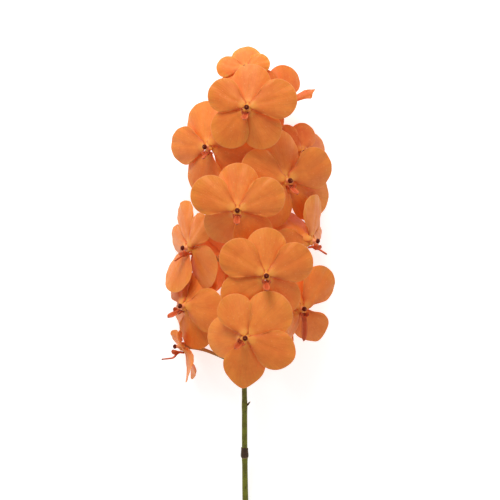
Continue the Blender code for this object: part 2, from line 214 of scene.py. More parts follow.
def blade_skin(middle: Array, half: Array, grain: Array) -> Skin:
    """The closed skin of a thin blade with a rounded rim.

    The face and the back are the middle surface moved by the half thickness along its
    normal, both ways. Between them the rim bulges out by the half thickness.

    Args:
        middle: The middle surface, rows by columns by 3.
        half: Half of the thickness, rows by columns.
        grain: The place on the blade, rows by columns by 2.

    Returns:
        The skin, with the mark "back".
    """
    rows, columns = half.shape
    under = rows * columns
    normal = grid_normals(middle)
    away = normal * half[..., None]
    i, j = np.arange(rows), np.arange(columns)
    last = columns - 1
    ring = [i * columns + last, (rows - 1) * columns + j[-2::-1], i[-2::-1] * columns, j[1:-1]]
    inwards = np.repeat([-1, -columns, 1, columns], [len(run) for run in ring])
    ring = np.concatenate(ring)
    flat = middle.reshape(-1, 3)
    up = normal.reshape(-1, 3)[ring]
    sideways = flat[ring] - flat[ring + inwards]
    sideways = unit(sideways - up * np.sum(sideways * up, axis=1, keepdims=True))
    rim = flat[ring] + sideways * half.ravel()[ring][:, None]
    a, b = ring, np.roll(ring, -1)
    m = 2 * under + np.arange(len(ring))
    n = np.roll(m, -1)
    plain = quads(rows, columns)
    sides = [np.stack([b, a, m, n], axis=1), np.stack([n, m, a + under, b + under], axis=1)]
    flat_grain = grain.reshape(-1, 2)
    return Skin(
        np.concatenate([(middle + away).reshape(-1, 3), (middle - away).reshape(-1, 3), rim]),
        np.concatenate([plain, plain[:, ::-1] + under, *sides]),
        np.concatenate([flat_grain, flat_grain, flat_grain[ring]]),
        {"back": np.repeat([FACE, BACK, RIM], [under, under, len(ring)])},
    )


def tube_skin(path: Array, radii: Array, sides: int, guide: Place = (0.0, 0.0, 1.0)) -> Skin:
    """The closed skin of a round or oval tube along a path, with a point at each end.

    A ring at each path point: the middle plus the side direction times the first radius
    times the cosine, plus the upward one times the second radius times the sine.

    Args:
        path: The middle line, one point per row.
        radii: One radius per point, or two for an oval, or one per point and per side.
        sides: How many points a ring has.
        guide: The direction that sets where a ring starts.

    Returns:
        The skin. Its grain is the turn round the tube and the share along it.
    """
    path = np.asarray(path, float)
    radii = np.asarray(radii, float)
    axis = unit(np.gradient(path, axis=0))
    side = unit(np.cross(np.broadcast_to(np.asarray(guide, float), axis.shape), axis))
    up = np.cross(axis, side)
    turn = turns_round(sides)
    wide = high = radii.reshape(len(path), -1)
    if wide.shape[1] == 2:
        wide, high = radii[:, :1], radii[:, 1:]
    rings = path[:, None, :] + side[:, None, :] * (wide * np.cos(turn))[..., None]
    rings = rings + up[:, None, :] * (high * np.sin(turn))[..., None]
    rows = len(path)
    grain = grain_of(turn / (2.0 * math.pi), np.linspace(0.0, 1.0, rows)[:, None])
    first, last = rows * sides, rows * sides + 1
    j = np.arange(sides)
    k = (j + 1) % sides
    top = (rows - 1) * sides
    caps = [
        np.stack([k, j, 0 * j + first, 0 * j + first], axis=1),
        np.stack([top + j, top + k, 0 * j + last, 0 * j + last], axis=1),
    ]
    return Skin(
        np.concatenate([rings.reshape(-1, 3), path[:1], path[-1:]]),
        np.concatenate([quads(rows, sides, wrap=True), *caps]),
        np.concatenate([grain.reshape(-1, 2), [[0.5, 0.0], [0.5, 1.0]]]),
    )


def piece_from(
    name: str,
    skin: Skin,
    finish: "PlantFinish",
    nodes: list[str],
    place: Matrix | None = None,
) -> bpy.types.Object:
    """Turns a skin into an object that rides on the frame and stands for CAD nodes.

    Nothing reaches below the table, so a tip that rests on it is pressed flat.

    Args:
        name: The piece's name.
        skin: The skin in millimetres.
        finish: Its skin.
        nodes: The CAD nodes that the piece stands for.
        place: From the skin's own frame to the world in metres, or None if it only needs
            the change to metres.

    Returns:
        The object, at the origin, with its place in its mesh.
    """
    turn = np.array(Matrix.Scale(MM, 4) if place is None else place)
    points = skin.points @ turn[:3, :3].T + turn[:3, 3]
    points[:, 2] = np.maximum(points[:, 2], 0.0)
    doubled = skin.faces[:, 2] == skin.faces[:, 3]
    corners = [skin.faces[~doubled].ravel(), skin.faces[doubled, :3].ravel()]
    loops = np.concatenate(corners).astype(np.int32)
    sizes = np.repeat([4, 3], [(~doubled).sum(), doubled.sum()])
    starts = np.concatenate([[0], np.cumsum(sizes)[:-1]]).astype(np.int32)
    mesh = bpy.data.meshes.new(name)
    mesh.vertices.add(len(points))
    mesh.vertices.foreach_set("co", points.astype(np.float32).ravel())
    mesh.loops.add(len(loops))
    mesh.loops.foreach_set("vertex_index", loops)
    mesh.polygons.add(len(sizes))
    mesh.polygons.foreach_set("loop_start", starts)
    grain = mesh.uv_layers.new(name="grain")
    grain.data.foreach_set("uv", skin.grain[loops].astype(np.float32).ravel())
    for mark, values in skin.marks.items():
        held = mesh.attributes.new(mark, "FLOAT", "POINT")
        held.data.foreach_set("value", values.astype(np.float32))
    mesh.update(calc_edges=True)
    mesh.validate()
    mesh.shade_smooth()
    mesh.materials.append(finish.material())
    made = bpy.data.objects.new(name, mesh)
    bpy.context.scene.collection.objects.link(made)
    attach(made, ROOT)
    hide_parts(*nodes)
    LOG.info("%s: %d points, for %s", name, len(points), ", ".join(nodes))
    return made


class Graph:
    """Adds nodes to one node tree and joins them."""

    def __init__(self, tree: bpy.types.NodeTree) -> None:
        """Keeps the tree that the nodes go into."""
        self.tree = tree

    def node(self, kind: str, settings: dict[str, Any], **inputs: Any) -> bpy.types.Node:
        """A node with its settings and its inputs.

        Args:
            kind: The node's type.
            settings: Attributes of the node.
            inputs: A socket or a value per input, by its name with _ for a space.

        Returns:
            The node.
        """
        made = self.tree.nodes.new(kind)
        for key, value in settings.items():
            setattr(made, key, value)
        for key, value in inputs.items():
            self.feed(made.inputs[key.replace("_", " ")], value)
        return made

    def feed(self, target: Socket, value: Any) -> None:
        """Links a socket to an input, or sets the input to a value.

        Args:
            target: The input.
            value: A socket, a number, a vector or a colour.
        """
        if isinstance(value, bpy.types.NodeSocket):
            self.tree.links.new(value, target)
        elif isinstance(value, tuple) and len(value) == 3 and target.type == "RGBA":
            target.default_value = (*value, 1.0)
        else:
            target.default_value = value

    def math(self, operation: str, a: Any, b: Any = 0.0, clamp: bool = False) -> Socket:
        """The result of one arithmetic step on two values.

        Args:
            operation: The step's name, as the Math node has it.
            a: The first value.
            b: The second value.
            clamp: Whether the result is held between 0 and 1.

        Returns:
            The result.
        """
        made = self.node("ShaderNodeMath", {"operation": operation, "use_clamp": clamp})
        self.feed(made.inputs[0], a)
        self.feed(made.inputs[1], b)
        return made.outputs[0]

    def times(self, a: Any, b: Any, clamp: bool = False) -> Socket:
        """The product of two values."""
        return self.math("MULTIPLY", a, b, clamp)

    def plus(self, a: Any, b: Any, clamp: bool = False) -> Socket:
        """The sum of two values."""
        return self.math("ADD", a, b, clamp)

    def minus(self, a: Any, b: Any) -> Socket:
        """The first value less the second."""
        return self.math("SUBTRACT", a, b)

    def step(self, value: Any, low: float, high: float) -> Socket:
        """A smooth step of a value, up to high, or down to it where low is larger.

        Args:
            value: The value.
            low: Where the step is 0.
            high: Where the step is 1.

        Returns:
            The step, from 0 to 1.
        """
        settings = {"interpolation_type": "SMOOTHSTEP"}
        ends = {"From_Min": min(low, high), "From_Max": max(low, high)}
        to = {"To_Min": float(low > high), "To_Max": float(low < high)}
        made = self.node("ShaderNodeMapRange", settings, Value=value, **ends, **to)
        return made.outputs["Result"]

    def blend(self, share: Any, a: Any, b: Any) -> Socket:
        """A colour between two.

        Args:
            share: How far it goes from a to b, from 0 to 1.
            a: The first colour.
            b: The second colour.

        Returns:
            The colour.
        """
        made = self.node("ShaderNodeMix", {"data_type": "RGBA"})
        colour_a, colour_b = (s for s in made.inputs if s.type == "RGBA")
        self.feed(made.inputs[0], share)
        self.feed(colour_a, a)
        self.feed(colour_b, b)
        return next(s for s in made.outputs if s.type == "RGBA")

    def noise(self, vector: Socket, scale: Any, detail: float = 3.0) -> Socket:
        """Cloudy values from 0 to 1.

        Args:
            vector: The place.
            scale: How many clouds lie along one unit of the vector.
            detail: How many finer clouds are added.

        Returns:
            The values.
        """
        made = self.node(
            "ShaderNodeTexNoise", {}, Vector=vector, Scale=scale, Detail=detail, Roughness=0.55
        )
        return made.outputs["Fac"]

    def mark(self, name: str) -> Socket:
        """One of the numbers that the piece's points carry."""
        return self.node("ShaderNodeAttribute", {"attribute_name": name}).outputs["Fac"]

    def effect(self, kind: "Effect", **inputs: Any) -> Socket:
        """The mask of a shared effect, placed in this tree with its own values."""
        made = self.node("ShaderNodeGroup", {"node_tree": effect_tree(kind)}, **inputs)
        return made.outputs["Mask"]

    @cached_property
    def place(self) -> Socket:
        """Object coordinates, in metres."""
        return self.node("ShaderNodeTexCoord", {}).outputs["Object"]


class Effect(Enum):
    """The effects that more than one material uses, each one a node group."""

    VEINS = "veins"
    SPECKS = "specks"
    BLOTCHES = "blotches"


def veins(g: Graph, given: dict[str, Socket]) -> Socket:
    """Veins that fan out along a blade, with a net of fine ones between them.

    A line runs where the share across, shifted by noise and times the count, is near a
    whole number. The net is where the two nearest cells of a cell pattern meet.

    Args:
        g: The group's graph.
        given: Its inputs: Grain, Count, Wander and Net.

    Returns:
        The mask.
    """
    line_half, fine_half, net_half = 0.13, 0.2, 0.14
    fine_share = 0.6
    cells_across, cells_along = 30.0, 22.0
    shares = g.node("ShaderNodeSeparateXYZ", {}, Vector=given["Grain"]).outputs
    drift = g.times(g.minus(g.noise(given["Grain"], 5.0, 2.0), 0.5), given["Wander"])
    whole = g.times(g.plus(shares["X"], drift), given["Count"])
    main = g.step(g.math("PINGPONG", whole, 0.5), line_half, 0.0)
    fine = g.step(g.math("PINGPONG", g.times(whole, 2.0), 0.5), fine_half, 0.0)
    fine = g.times(fine, g.step(shares["Y"], 0.3, 0.6))
    lines = g.math("MAXIMUM", main, g.times(fine, fine_share))
    scale = (cells_across, cells_along, 1.0)
    stretched = g.node("ShaderNodeMapping", {}, Vector=given["Grain"], Scale=scale)
    settings = {"feature": "DISTANCE_TO_EDGE"}
    vector = stretched.outputs["Vector"]
    cells = g.node("ShaderNodeTexVoronoi", settings, Vector=vector, Scale=1.0)
    net = g.times(g.step(cells.outputs["Distance"], net_half, 0.0), given["Net"])
    return g.math("MAXIMUM", lines, net, clamp=True)


def specks(g: Graph, given: dict[str, Socket]) -> Socket:
    """Small round specks, where a point is nearer to the middle of its cell than a size.

    Args:
        g: The group's graph.
        given: Its inputs: Place, Scale and Size.

    Returns:
        The mask.
    """
    sharpness = 8.0
    cells = g.node("ShaderNodeTexVoronoi", {}, Vector=given["Place"], Scale=given["Scale"])
    tone = g.node("ShaderNodeSeparateColor", {}, Color=cells.outputs["Color"])
    size = g.times(given["Size"], tone.outputs["Red"])
    return g.times(g.minus(size, cells.outputs["Distance"]), sharpness, clamp=True)


def blotches(g: Graph, given: dict[str, Socket]) -> Socket:
    """Soft patches of two sizes: one cloudy noise, and half as much of one five times finer.

    Args:
        g: The group's graph.
        given: Its inputs: Place and Scale.

    Returns:
        The mask.
    """
    large = g.noise(given["Place"], given["Scale"], 2.0)
    small = g.noise(given["Place"], g.times(given["Scale"], 5.0), 4.0)
    return g.step(g.plus(g.times(large, 0.67), g.times(small, 0.33)), 0.36, 0.64)


# How each effect is made, and its inputs: first the vector, then the values.
RECIPES = {
    Effect.VEINS: (veins, ("Grain", "Count", "Wander", "Net")),
    Effect.SPECKS: (specks, ("Place", "Scale", "Size")),
    Effect.BLOTCHES: (blotches, ("Place", "Scale")),
}


def effect_tree(kind: Effect) -> bpy.types.NodeTree:
    """The node group of an effect, which is built on its first use.

    Args:
        kind: Which effect.

    Returns:
        The group, with the inputs that its recipe names and one output, Mask.
    """
    found = bpy.data.node_groups.get(kind.value)
    if found:
        return found
    recipe, names = RECIPES[kind]
    tree = bpy.data.node_groups.new(kind.value, "ShaderNodeTree")
    for name in names:
        socket = "NodeSocketVector" if name == names[0] else "NodeSocketFloat"
        tree.interface.new_socket(name, in_out="INPUT", socket_type=socket)
    tree.interface.new_socket("Mask", in_out="OUTPUT", socket_type="NodeSocketFloat")
    g = Graph(tree)
    given = g.node("NodeGroupInput", {}).outputs
    out = g.node("NodeGroupOutput", {})
    g.feed(out.inputs["Mask"], recipe(g, {name: given[name] for name in names}))
    return tree


class SkinGraph(Graph):
    """A skin's graph, with the values that its layers name, each made on its first use."""

    def __init__(self, tree: bpy.types.NodeTree, finish: "PlantFinish") -> None:
        """Keeps the tree and the finish."""
        super().__init__(tree)
        self.finish = finish

    @cached_property
    def grain(self) -> Socket:
        """The place on the surface, from the piece's own UV map."""
        return self.node("ShaderNodeUVMap", {"uv_map": "grain"}).outputs["UV"]

    @cached_property
    def shares(self) -> dict[str, Socket]:
        """The share across the surface, X, and the share along it, Y."""
        made = self.node("ShaderNodeSeparateXYZ", {}, Vector=self.grain)
        return {axis: made.outputs[axis] for axis in "XY"}

    @cached_property
    def along(self) -> Socket:
        """The share along the surface, from its foot to its tip."""
        return self.shares["Y"]

    @cached_property
    def climb(self) -> Socket:
        """The share along the surface, unsettled by a fifth of the patches."""
        return self.plus(self.along, self.times(self.minus(self.patches, 0.5), 0.2))

    @cached_property
    def aside(self) -> Socket:
        """How far aside: 0 on the middle line and 1 at an edge."""
        return self.times(self.math("ABSOLUTE", self.minus(self.shares["X"], 0.5)), 2.0)

    @cached_property
    def rim(self) -> Socket:
        """The rim of a blade: the end of its tip and its sides, but nothing of its back."""
        # The tepal skin paints a highlight on this rim, paler where the edges catch the light.
        back, tip = self.mark("back"), self.step(self.along, 0.972, 1.0)
        outer = self.math("MAXIMUM", tip, self.step(back, FACE, RIM))
        return self.times(outer, self.step(back, BACK, RIM))

    @cached_property
    def patches(self) -> Socket:
        """The finish's blotches."""
        return self.effect(Effect.BLOTCHES, Place=self.place, Scale=self.finish.patch_scale)

    @cached_property
    def uneven(self) -> Socket:
        """The blotches, made so weak that they never go under three fifths."""
        return self.plus(0.6, self.times(self.patches, 0.4))

    @cached_property
    def cells(self) -> Socket:
        """Fine noise, the size of the cells of a skin."""
        return self.noise(self.place, 2600.0, 2.0)

    @cached_property
    def veins(self) -> Socket:
        """The finish's veins."""
        count, wander, net = self.finish.veins
        return self.effect(Effect.VEINS, Grain=self.grain, Count=count, Wander=wander, Net=net)

    @cached_property
    def specks(self) -> Socket:
        """The finish's specks."""
        scale, size = self.finish.specks
        return self.effect(Effect.SPECKS, Place=self.place, Scale=scale, Size=size)

    def value(self, name: str, span: Span | None = None) -> Socket:
        """A value of this graph by its name, or else the mark of that name.

        Args:
            name: The value or the mark.
            span: The ends of a smooth step of it, or None for the value itself.

        Returns:
            The value.
        """
        found = getattr(self, name) if hasattr(SkinGraph, name) else self.mark(name)
        return self.step(found, *span) if span else found


def new_material(name: str) -> tuple[bpy.types.Material, bpy.types.Node]:
    """A new material.

    Args:
        name: Its name.

    Returns:
        The material and its Principled shader.
    """
    made = bpy.data.materials.new(name)
    made.use_nodes = True
    return made, made.node_tree.nodes["Principled BSDF"]


@dataclass(frozen=True)
class Layer:
    """A colour laid over a skin, up to a share, where its masks are.

    Each mask is a value of the graph or a mark of the piece, with the ends of a smooth step
    or None. The masks are multiplied, and the mark called added is added to them.
    """

    colour: Colour
    share: float
    masks: dict[str, Span | None]
    added: str = ""

    def over(self, under: Any, g: SkinGraph) -> Socket:
        """Lays it over a colour.

        Args:
            under: The colour.
            g: The skin's graph.

        Returns:
            The colour of both.
        """
        mask: Any = self.share
        for name, span in self.masks.items():
            mask = g.times(g.value(name, span), mask)
        if self.added:
            mask = g.plus(mask, g.mark(self.added), clamp=True)
        return g.blend(mask, under, self.colour)


@dataclass(frozen=True)
class PlantFinish:
    """One of the plant's skins: a body colour with layers, gloss and relief.

    Scales are per metre. The veins are their count, how much they wander and how strong
    their net is, and the specks are their scale and their size. The bumps name what stands
    up, and the veins are sunk.
    """

    name: str
    body: Colour
    layers: tuple[Layer, ...]
    patch_scale: float
    roughness: float
    patch_gloss: float
    veins: tuple[float, float, float] | None = None
    specks: Span | None = None
    bumps: str = "patches"
    bump_height: float = 1.0
    relief: float = 0.35
    relief_depth: float = 0.0002
    specular: float = 0.5
    subsurface: float = 0.0
    subsurface_radius: Colour = (1.0, 0.3, 0.2)
    subsurface_scale: float = 0.001
    sheen: float = 0.0
    sheen_roughness: float = 0.4

    def material(self) -> bpy.types.Material:
        """The material, which is built on its first use."""
        return bpy.data.materials.get(self.name) or self.build()

    def build(self) -> bpy.types.Material:
        """Makes the material.

        The colour comes of the layers, the roughness follows the patches, and the relief
        is a bump.

        Returns:
            The material.
        """
        made, shader = new_material(self.name)
        g = SkinGraph(made.node_tree, self)
        colour: Any = self.body
        for layer in self.layers:
            colour = layer.over(colour, g)
        g.feed(shader.inputs["Base Color"], colour)
        gloss = g.plus(self.roughness, g.times(g.patches, self.patch_gloss))
        g.feed(shader.inputs["Roughness"], gloss)
        height = g.times(g.value(self.bumps), self.bump_height)
        if self.veins:
            height = g.minus(height, g.veins)
        depth = {"Strength": self.relief, "Distance": self.relief_depth}
        bump = g.node("ShaderNodeBump", {}, **depth, Height=height)
        g.feed(shader.inputs["Normal"], bump.outputs["Normal"])
        constants = {
            "Specular IOR Level": self.specular,
            "Subsurface Weight": self.subsurface,
            "Subsurface Radius": self.subsurface_radius,
            "Subsurface Scale": self.subsurface_scale,
            "Sheen Weight": self.sheen,
            "Sheen Roughness": self.sheen_roughness,
        }
        for socket, value in constants.items():
            shader.inputs[socket].default_value = value
        return made


# A deep red orange, for the patches and the veins, and for painted shade.
DEEP_TONE_AND_SHADE: Colour = (0.66, 0.100, 0.010)
# Sepals and petals: deeper in patches, by a random tone and by the bloom's painted shade,
# with painted shade in the creases beside the claw, yellower at the tips and paler at the
# foot, with veins, specks, a colour of its own for the back and a painted highlight on the rim.
TEPAL_SKIN = PlantFinish(
    name="tepal_skin",
    body=(0.90, 0.262, 0.036),
    layers=(
        # Deeper in patches and by a random tone, and by painted shade where the bloom lies in
        # shadow.
        Layer(DEEP_TONE_AND_SHADE, 0.34, {"patches": None}, added="tint"),
        # Painted shade: deeper towards the edges near the foot, in the creases beside the claw.
        Layer(DEEP_TONE_AND_SHADE, 0.85, {"aside": (0.3, 1.0), "along": (0.9, 0.2)}),
        Layer((0.86, 0.34, 0.040), 1.0, {"along": (0.7, 1.0), "ripe": None, "uneven": None}),
        Layer((0.95, 0.38, 0.060), 0.85, {"along": (0.2, 0.02), "aside": (1.0, 0.3)}),
        Layer(DEEP_TONE_AND_SHADE, 0.16, {"veins": None}),
        Layer((0.96, 0.46, 0.17), 0.3, {"specks": None}),
        Layer((0.92, 0.30, 0.070), 0.45, {"back": (RIM, BACK)}),
        # Painted highlight: paler on the rim and the tip's end, where the edges catch the light.
        Layer((0.97, 0.38, 0.12), 0.3, {"rim": None}),
    ),
    patch_scale=70.0,
    veins=(13.0, 0.05, 0.45),
    specks=(520.0, 0.3),
    bumps="cells",
    bump_height=0.35,
    roughness=0.46,
    patch_gloss=0.12,
    specular=0.35,
    subsurface=0.22,
    subsurface_radius=(1.0, 0.35, 0.12),
    subsurface_scale=0.0015,
    sheen=0.05,
)

LIP_PALE: Colour = (0.84, 0.20, 0.060)
LIP_DARK: Colour = (0.22, 0.008, 0.003)
# The lip: red orange, paler at the edges, dark where it is veined or stained, brown at the tip.
LIP_SKIN = PlantFinish(
    name="lip_skin",
    body=(0.62, 0.085, 0.018),
    layers=(
        Layer(LIP_PALE, 0.75, {"aside": (0.3, 0.95)}),
        Layer(LIP_PALE, 0.35, {"patches": None}),
        Layer(LIP_DARK, 0.45, {"veins": None}),
        Layer(LIP_DARK, 1.0, {"patches": (0.25, 0.75), "stain": None}),
        Layer((0.52, 0.13, 0.052), 0.65, {"along": (0.8, 1.0)}),
    ),
    patch_scale=330.0,
    veins=(7.0, 0.06, 0.3),
    bump_height=0.4,
    relief=0.4,
    roughness=0.5,
    patch_gloss=0.1,
    specular=0.25,
    subsurface=0.15,
)

BLUSH: Colour = (0.72, 0.18, 0.08)
# The column: a pale pink foot with blush patches and specks, a dark anther cap, a pale eye.
COLUMN_SKIN = PlantFinish(
    name="column_skin",
    body=(0.95, 0.42, 0.19),
    layers=(
        Layer(BLUSH, 0.4, {"patches": None}),
        Layer((0.105, 0.007, 0.002), 1.0, {"cap": None}),
        Layer((0.30, 0.10, 0.025), 1.0, {"eye": None}),
        Layer(BLUSH, 0.25, {"specks": None}),
    ),
    patch_scale=600.0,
    specks=(1500.0, 0.45),
    relief=0.3,
    relief_depth=0.0001,
    roughness=0.5,
    patch_gloss=0.15,
    specular=0.14,
)


def stem_finish(name: str, low: Colour, high: Colour, fleck: Colour, share: float) -> PlantFinish:
    """The skin of the stem or of the stalks, with flecks in patches, specks and lines.

    Args:
        name: The material's name.
        low: The colour at the foot.
        high: The colour at the upper end.
        fleck: The colour of the flecks.
        share: How strong the flecks are.

    Returns:
        The finish.
    """
    layers = (
        Layer(high, 1.0, {"climb": (0.1, 0.85)}),
        Layer(fleck, share, {"patches": None}),
        Layer(fleck, 1.6 * share, {"specks": None}),
        Layer(fleck, 0.22, {"veins": None}),
    )
    return PlantFinish(
        name=name,
        body=low,
        layers=layers,
        patch_scale=160.0,
        veins=(18.0, 0.015, 0.0),
        specks=(620.0, 0.42),
        bump_height=0.6,
        roughness=0.43,
        patch_gloss=0.15,
        specular=0.3,
    )


STEM_SKIN = stem_finish(
    "stem_skin", (0.215, 0.225, 0.016), (0.140, 0.100, 0.010), (0.05, 0.025, 0.008), 0.4
)
STALK_SKIN = stem_finish(
    "stalk_skin", (0.33, 0.27, 0.08), (0.66, 0.30, 0.085), (0.30, 0.13, 0.04), 0.2
)

BROWN: Colour = (0.12, 0.055, 0.020)
# The dry bracts: near black, papery, tan where the rim has faded.
DRY_BRACT = PlantFinish(
    name="dry_bract",
    body=(0.030, 0.010, 0.004),
    layers=(
        Layer(BROWN, 0.6, {"patches": None}),
        Layer(BROWN, 0.5, {"veins": None}),
        Layer((0.42, 0.26, 0.11), 1.0, {"faded": None}),
    ),
    patch_scale=420.0,
    veins=(11.0, 0.03, 0.2),
    relief=0.5,
    roughness=0.6,
    patch_gloss=0.2,
)


@dataclass(frozen=True)
class FloorFinish:
    """A plain white table that gives off a little light, as a photographer's table does."""

    colour: Colour = (0.93, 0.93, 0.93)
    glow: float = 0.55
    roughness: float = 0.7
    patch_scale: float = 12.0
    patch_gloss: float = 0.15

    def build(self) -> bpy.types.Material:
        """Makes the material, with a faint unevenness in its roughness.

        Returns:
            The material.
        """
        made, shader = new_material("white_table")
        g = Graph(made.node_tree)
        cloud = g.noise(g.place, self.patch_scale)
        gloss = g.plus(self.roughness, g.times(cloud, self.patch_gloss))
        g.feed(shader.inputs["Roughness"], gloss)
        g.feed(shader.inputs["Base Color"], self.colour)
        g.feed(shader.inputs["Emission Color"], (1.0, 1.0, 1.0))
        shader.inputs["Emission Strength"].default_value = self.glow
        return made


@dataclass(frozen=True)
class Tepal:
    """The outline and the bend of one sepal or petal, in millimetres and degrees.

    The angle is where it grows round the receptacle, anticlockwise from the bloom's right.
    The lift leans it forward, the turn bends it aside, and the twist turns it edge-on. The
    inset narrows its claw on one side, to let the spur by, and the point lengthens its tip.
    Ripple and phase shape its rim. The spans are shares of the way from base to tip.
    """

    length: float
    half_width: float
    angle: float
    base: float
    lift: float
    inset: float = 0.0
    turn: float = 0.0
    twist: float = 0.0
    point: float = 0.0
    ripple: float = 0.3
    phase: float = 0.0

    receptacle: float = 3.2
    fullness: float = 1.05
    point_spread: float = 0.45
    reflex: float = 0.12
    cup: float = -2.6
    other_cup: float = -2.6
    cup_rise: Span = (0.1, 0.7)
    wave: float = 0.5
    ripples: float = 5.0
    fine_ripples: float = 11.0
    ripple_rise: Span = (0.45, 1.0)
    claw: float = 3.0
    claw_fade: float = 1.5
    neck: float = 0.93
    neck_reach: float = 0.45
    crease: float = 1.5
    crease_rise: Span = (0.0, 0.12)
    crease_fall: Span = (0.3, 0.8)
    channel: float = 0.35
    channel_rise: Span = (0.02, 0.25)
    channel_fall: Span = (0.5, 1.0)
    bend_rate: float = 2.5
    lean_rate: float = 3.0
    lean_start: float = 0.4
    buried: float = 0.05
    rim_half: float = 0.18
    middle_half: float = 0.22
    claw_half: float = 0.35

    def blade(self, u: Array, v: Array) -> tuple[Array, Array, Array]:
        """The blade before it leans and turns.

        The outline is an ellipse seen from the base: its points at angle psi are carried
        towards the base by u, and drawn in towards the axis near the claw. The edges fall,
        by cup where v is negative and other_cup where it is positive, and they wave and
        ripple. A shallow channel follows the middle line. The blade twists about its axis,
        and its tip bends back by the reflex.

        Args:
            u: Shares from the base to the rim, a column.
            v: Shares across, from -1 to 1, a row.

        Returns:
            The distance out, the distance aside and the height of each point.
        """
        across = self.half_width
        along = across * self.fullness
        middle = self.length - along
        psi = v * math.acos(-along / middle)
        reach = (middle + along * np.cos(psi)) * (1.0 - self.receptacle / self.length)
        r = self.receptacle + u * (reach + self.point * bell(psi, 0.0, self.point_spread))
        neck = self.neck + (1.0 - self.neck) * smooth(r / (self.neck_reach * self.length))
        t = u * across * np.sin(psi) * neck
        t = t + self.claw * v * (1.0 - u) ** self.claw_fade
        t = t + self.inset * np.clip(-np.sign(self.inset) * v, 0.0, 1.0) * (1.0 - u)
        part = r / self.length
        cup = np.where(v < 0.0, self.cup, self.other_cup) * smooth(u, *self.cup_rise)
        n = cup * (t / across) ** 2
        n = n + self.wave * part**2 * np.sin(2.0 * psi + self.angle)
        fold = smooth(u, *self.crease_rise) * fading(u, self.crease_fall)
        n = n - self.crease * v**2 * fold
        rim = smooth(u, *self.ripple_rise)
        n = n + self.ripple * rim * np.sin(self.ripples * psi + self.phase)
        fine = np.sin(self.fine_ripples * psi + 2.3 * self.phase)
        n = n + 0.5 * self.ripple * rim**2 * fine
        groove = bell(t, 0.0, 0.11 * across + 0.6 * part)
        groove = groove * smooth(u, *self.channel_rise) * fading(u, self.channel_fall)
        n = n - self.channel * groove
        twist = math.radians(self.twist) * smooth(self.bend_rate * u)
        n, t = n * np.cos(twist) + t * np.sin(twist), t * np.cos(twist) - n * np.sin(twist)
        return r, t, n + self.base - self.reflex * self.length * part**2

    def sheet(self, u: Array, v: Array) -> Array:
        """Points of the middle surface, for u from base to tip and v across.

        The blade leans by the lift, and past the claw it turns aside in its own plane.

        Args:
            u: Shares from the base to the rim, a column.
            v: Shares across, from -1 to 1, a row.

        Returns:
            The points, rows by columns by 3, in the bloom's frame.
        """
        r, t, n = self.blade(u, v)
        lean = math.radians(self.lift) * smooth(self.lean_rate * u + self.lean_start)
        out = r * np.cos(lean) - n * np.sin(lean)
        front = r * np.sin(lean) + n * np.cos(lean)
        turn = np.radians(self.angle + self.turn * smooth(self.bend_rate * u))
        x = out * np.cos(turn) + t * np.sin(turn)
        y = out * np.sin(turn) - t * np.cos(turn)
        return np.stack([x, y, front], axis=-1)

    def skin(self, rows: int, columns: int) -> Skin:
        """The closed skin of the tepal, thick at the claw and thin at the rim.

        Its rows stand closer towards the tip, and the first lie inside the receptacle.

        Args:
            rows: How many rows of points it has from base to tip.
            columns: How many points a row has.

        Returns:
            The skin in the bloom's frame.
        """
        u = np.linspace(0.0, 1.0, rows)
        u = (u + 0.25 * np.sin(math.pi * u) * u)[:, None]
        u = -self.buried + (1.0 + self.buried) * u
        v = np.linspace(-1.0, 1.0, columns)[None, :]
        half = self.rim_half + self.middle_half * fading(u, (0.3, 1.0)) * (1.0 - 0.6 * v**2)
        half = half + self.claw_half * fading(u, (-self.buried, 0.2)) * (1.0 - v**2)
        return blade_skin(self.sheet(u, v), half, grain_of(0.5 + 0.5 * v, np.clip(u, 0.0, 1.0)))


PETAL = Tepal(length=35.5, half_width=14.0, angle=90.0, base=1.1, lift=-2.0)
LATERAL = Tepal(length=35.0, half_width=15.0, angle=270.0, base=-0.7, lift=-9.0)
TEPALS = {
    Position.DORSAL: Tepal(length=33.0, half_width=14.0, angle=90.0, base=-0.4, lift=-8.0),
    Position.LEFT_PETAL: replace(PETAL, angle=151.0, cup=-4.2, other_cup=-1.0),
    Position.RIGHT_PETAL: replace(PETAL, angle=29.0, cup=-1.0, other_cup=-4.2),
    Position.LEFT_LATERAL: replace(LATERAL, angle=233.0, inset=1.7),
    Position.RIGHT_LATERAL: replace(LATERAL, angle=307.0, base=-1.6, lift=-11.0, inset=-1.7),
}


@dataclass(frozen=True)
class Receptacle:
    """The small boss that the tepals grow from, in millimetres."""

    radius: float = 3.3
    front: float = 1.5
    back: float = -3.0
    lobe: float = 0.08
    squareness: float = 0.8
    dark_below: float = -0.5
    rings: int = 14
    sides: int = 30

    def skin(self) -> Skin:
        """A closed boss: the radius times the sine, between a low dome and a deeper back.

        Its rim swells by a twelfth towards each of the five tepals.

        Returns:
            The skin in the bloom's frame.
        """
        turn = np.linspace(0.05, math.pi - 0.05, self.rings)
        deep = np.where(turn < math.pi / 2.0, -self.back, self.front)
        path = np.stack([0.0 * turn, 0.0 * turn, -deep * np.cos(turn)], axis=1)
        lobes = 1.0 + self.lobe * np.cos(5.0 * turns_round(self.sides) - 0.5 * math.pi)
        radii = self.radius * np.sin(turn)[:, None] ** self.squareness * lobes
        made = tube_skin(path, radii, self.sides, (0.0, 1.0, 0.0))
        grain = np.zeros_like(made.grain) + (0.5, 0.0)
        behind = np.where(made.points[:, 2] < self.dark_below, BACK, FACE)
        return Skin(made.points, made.faces, grain, {"back": behind})


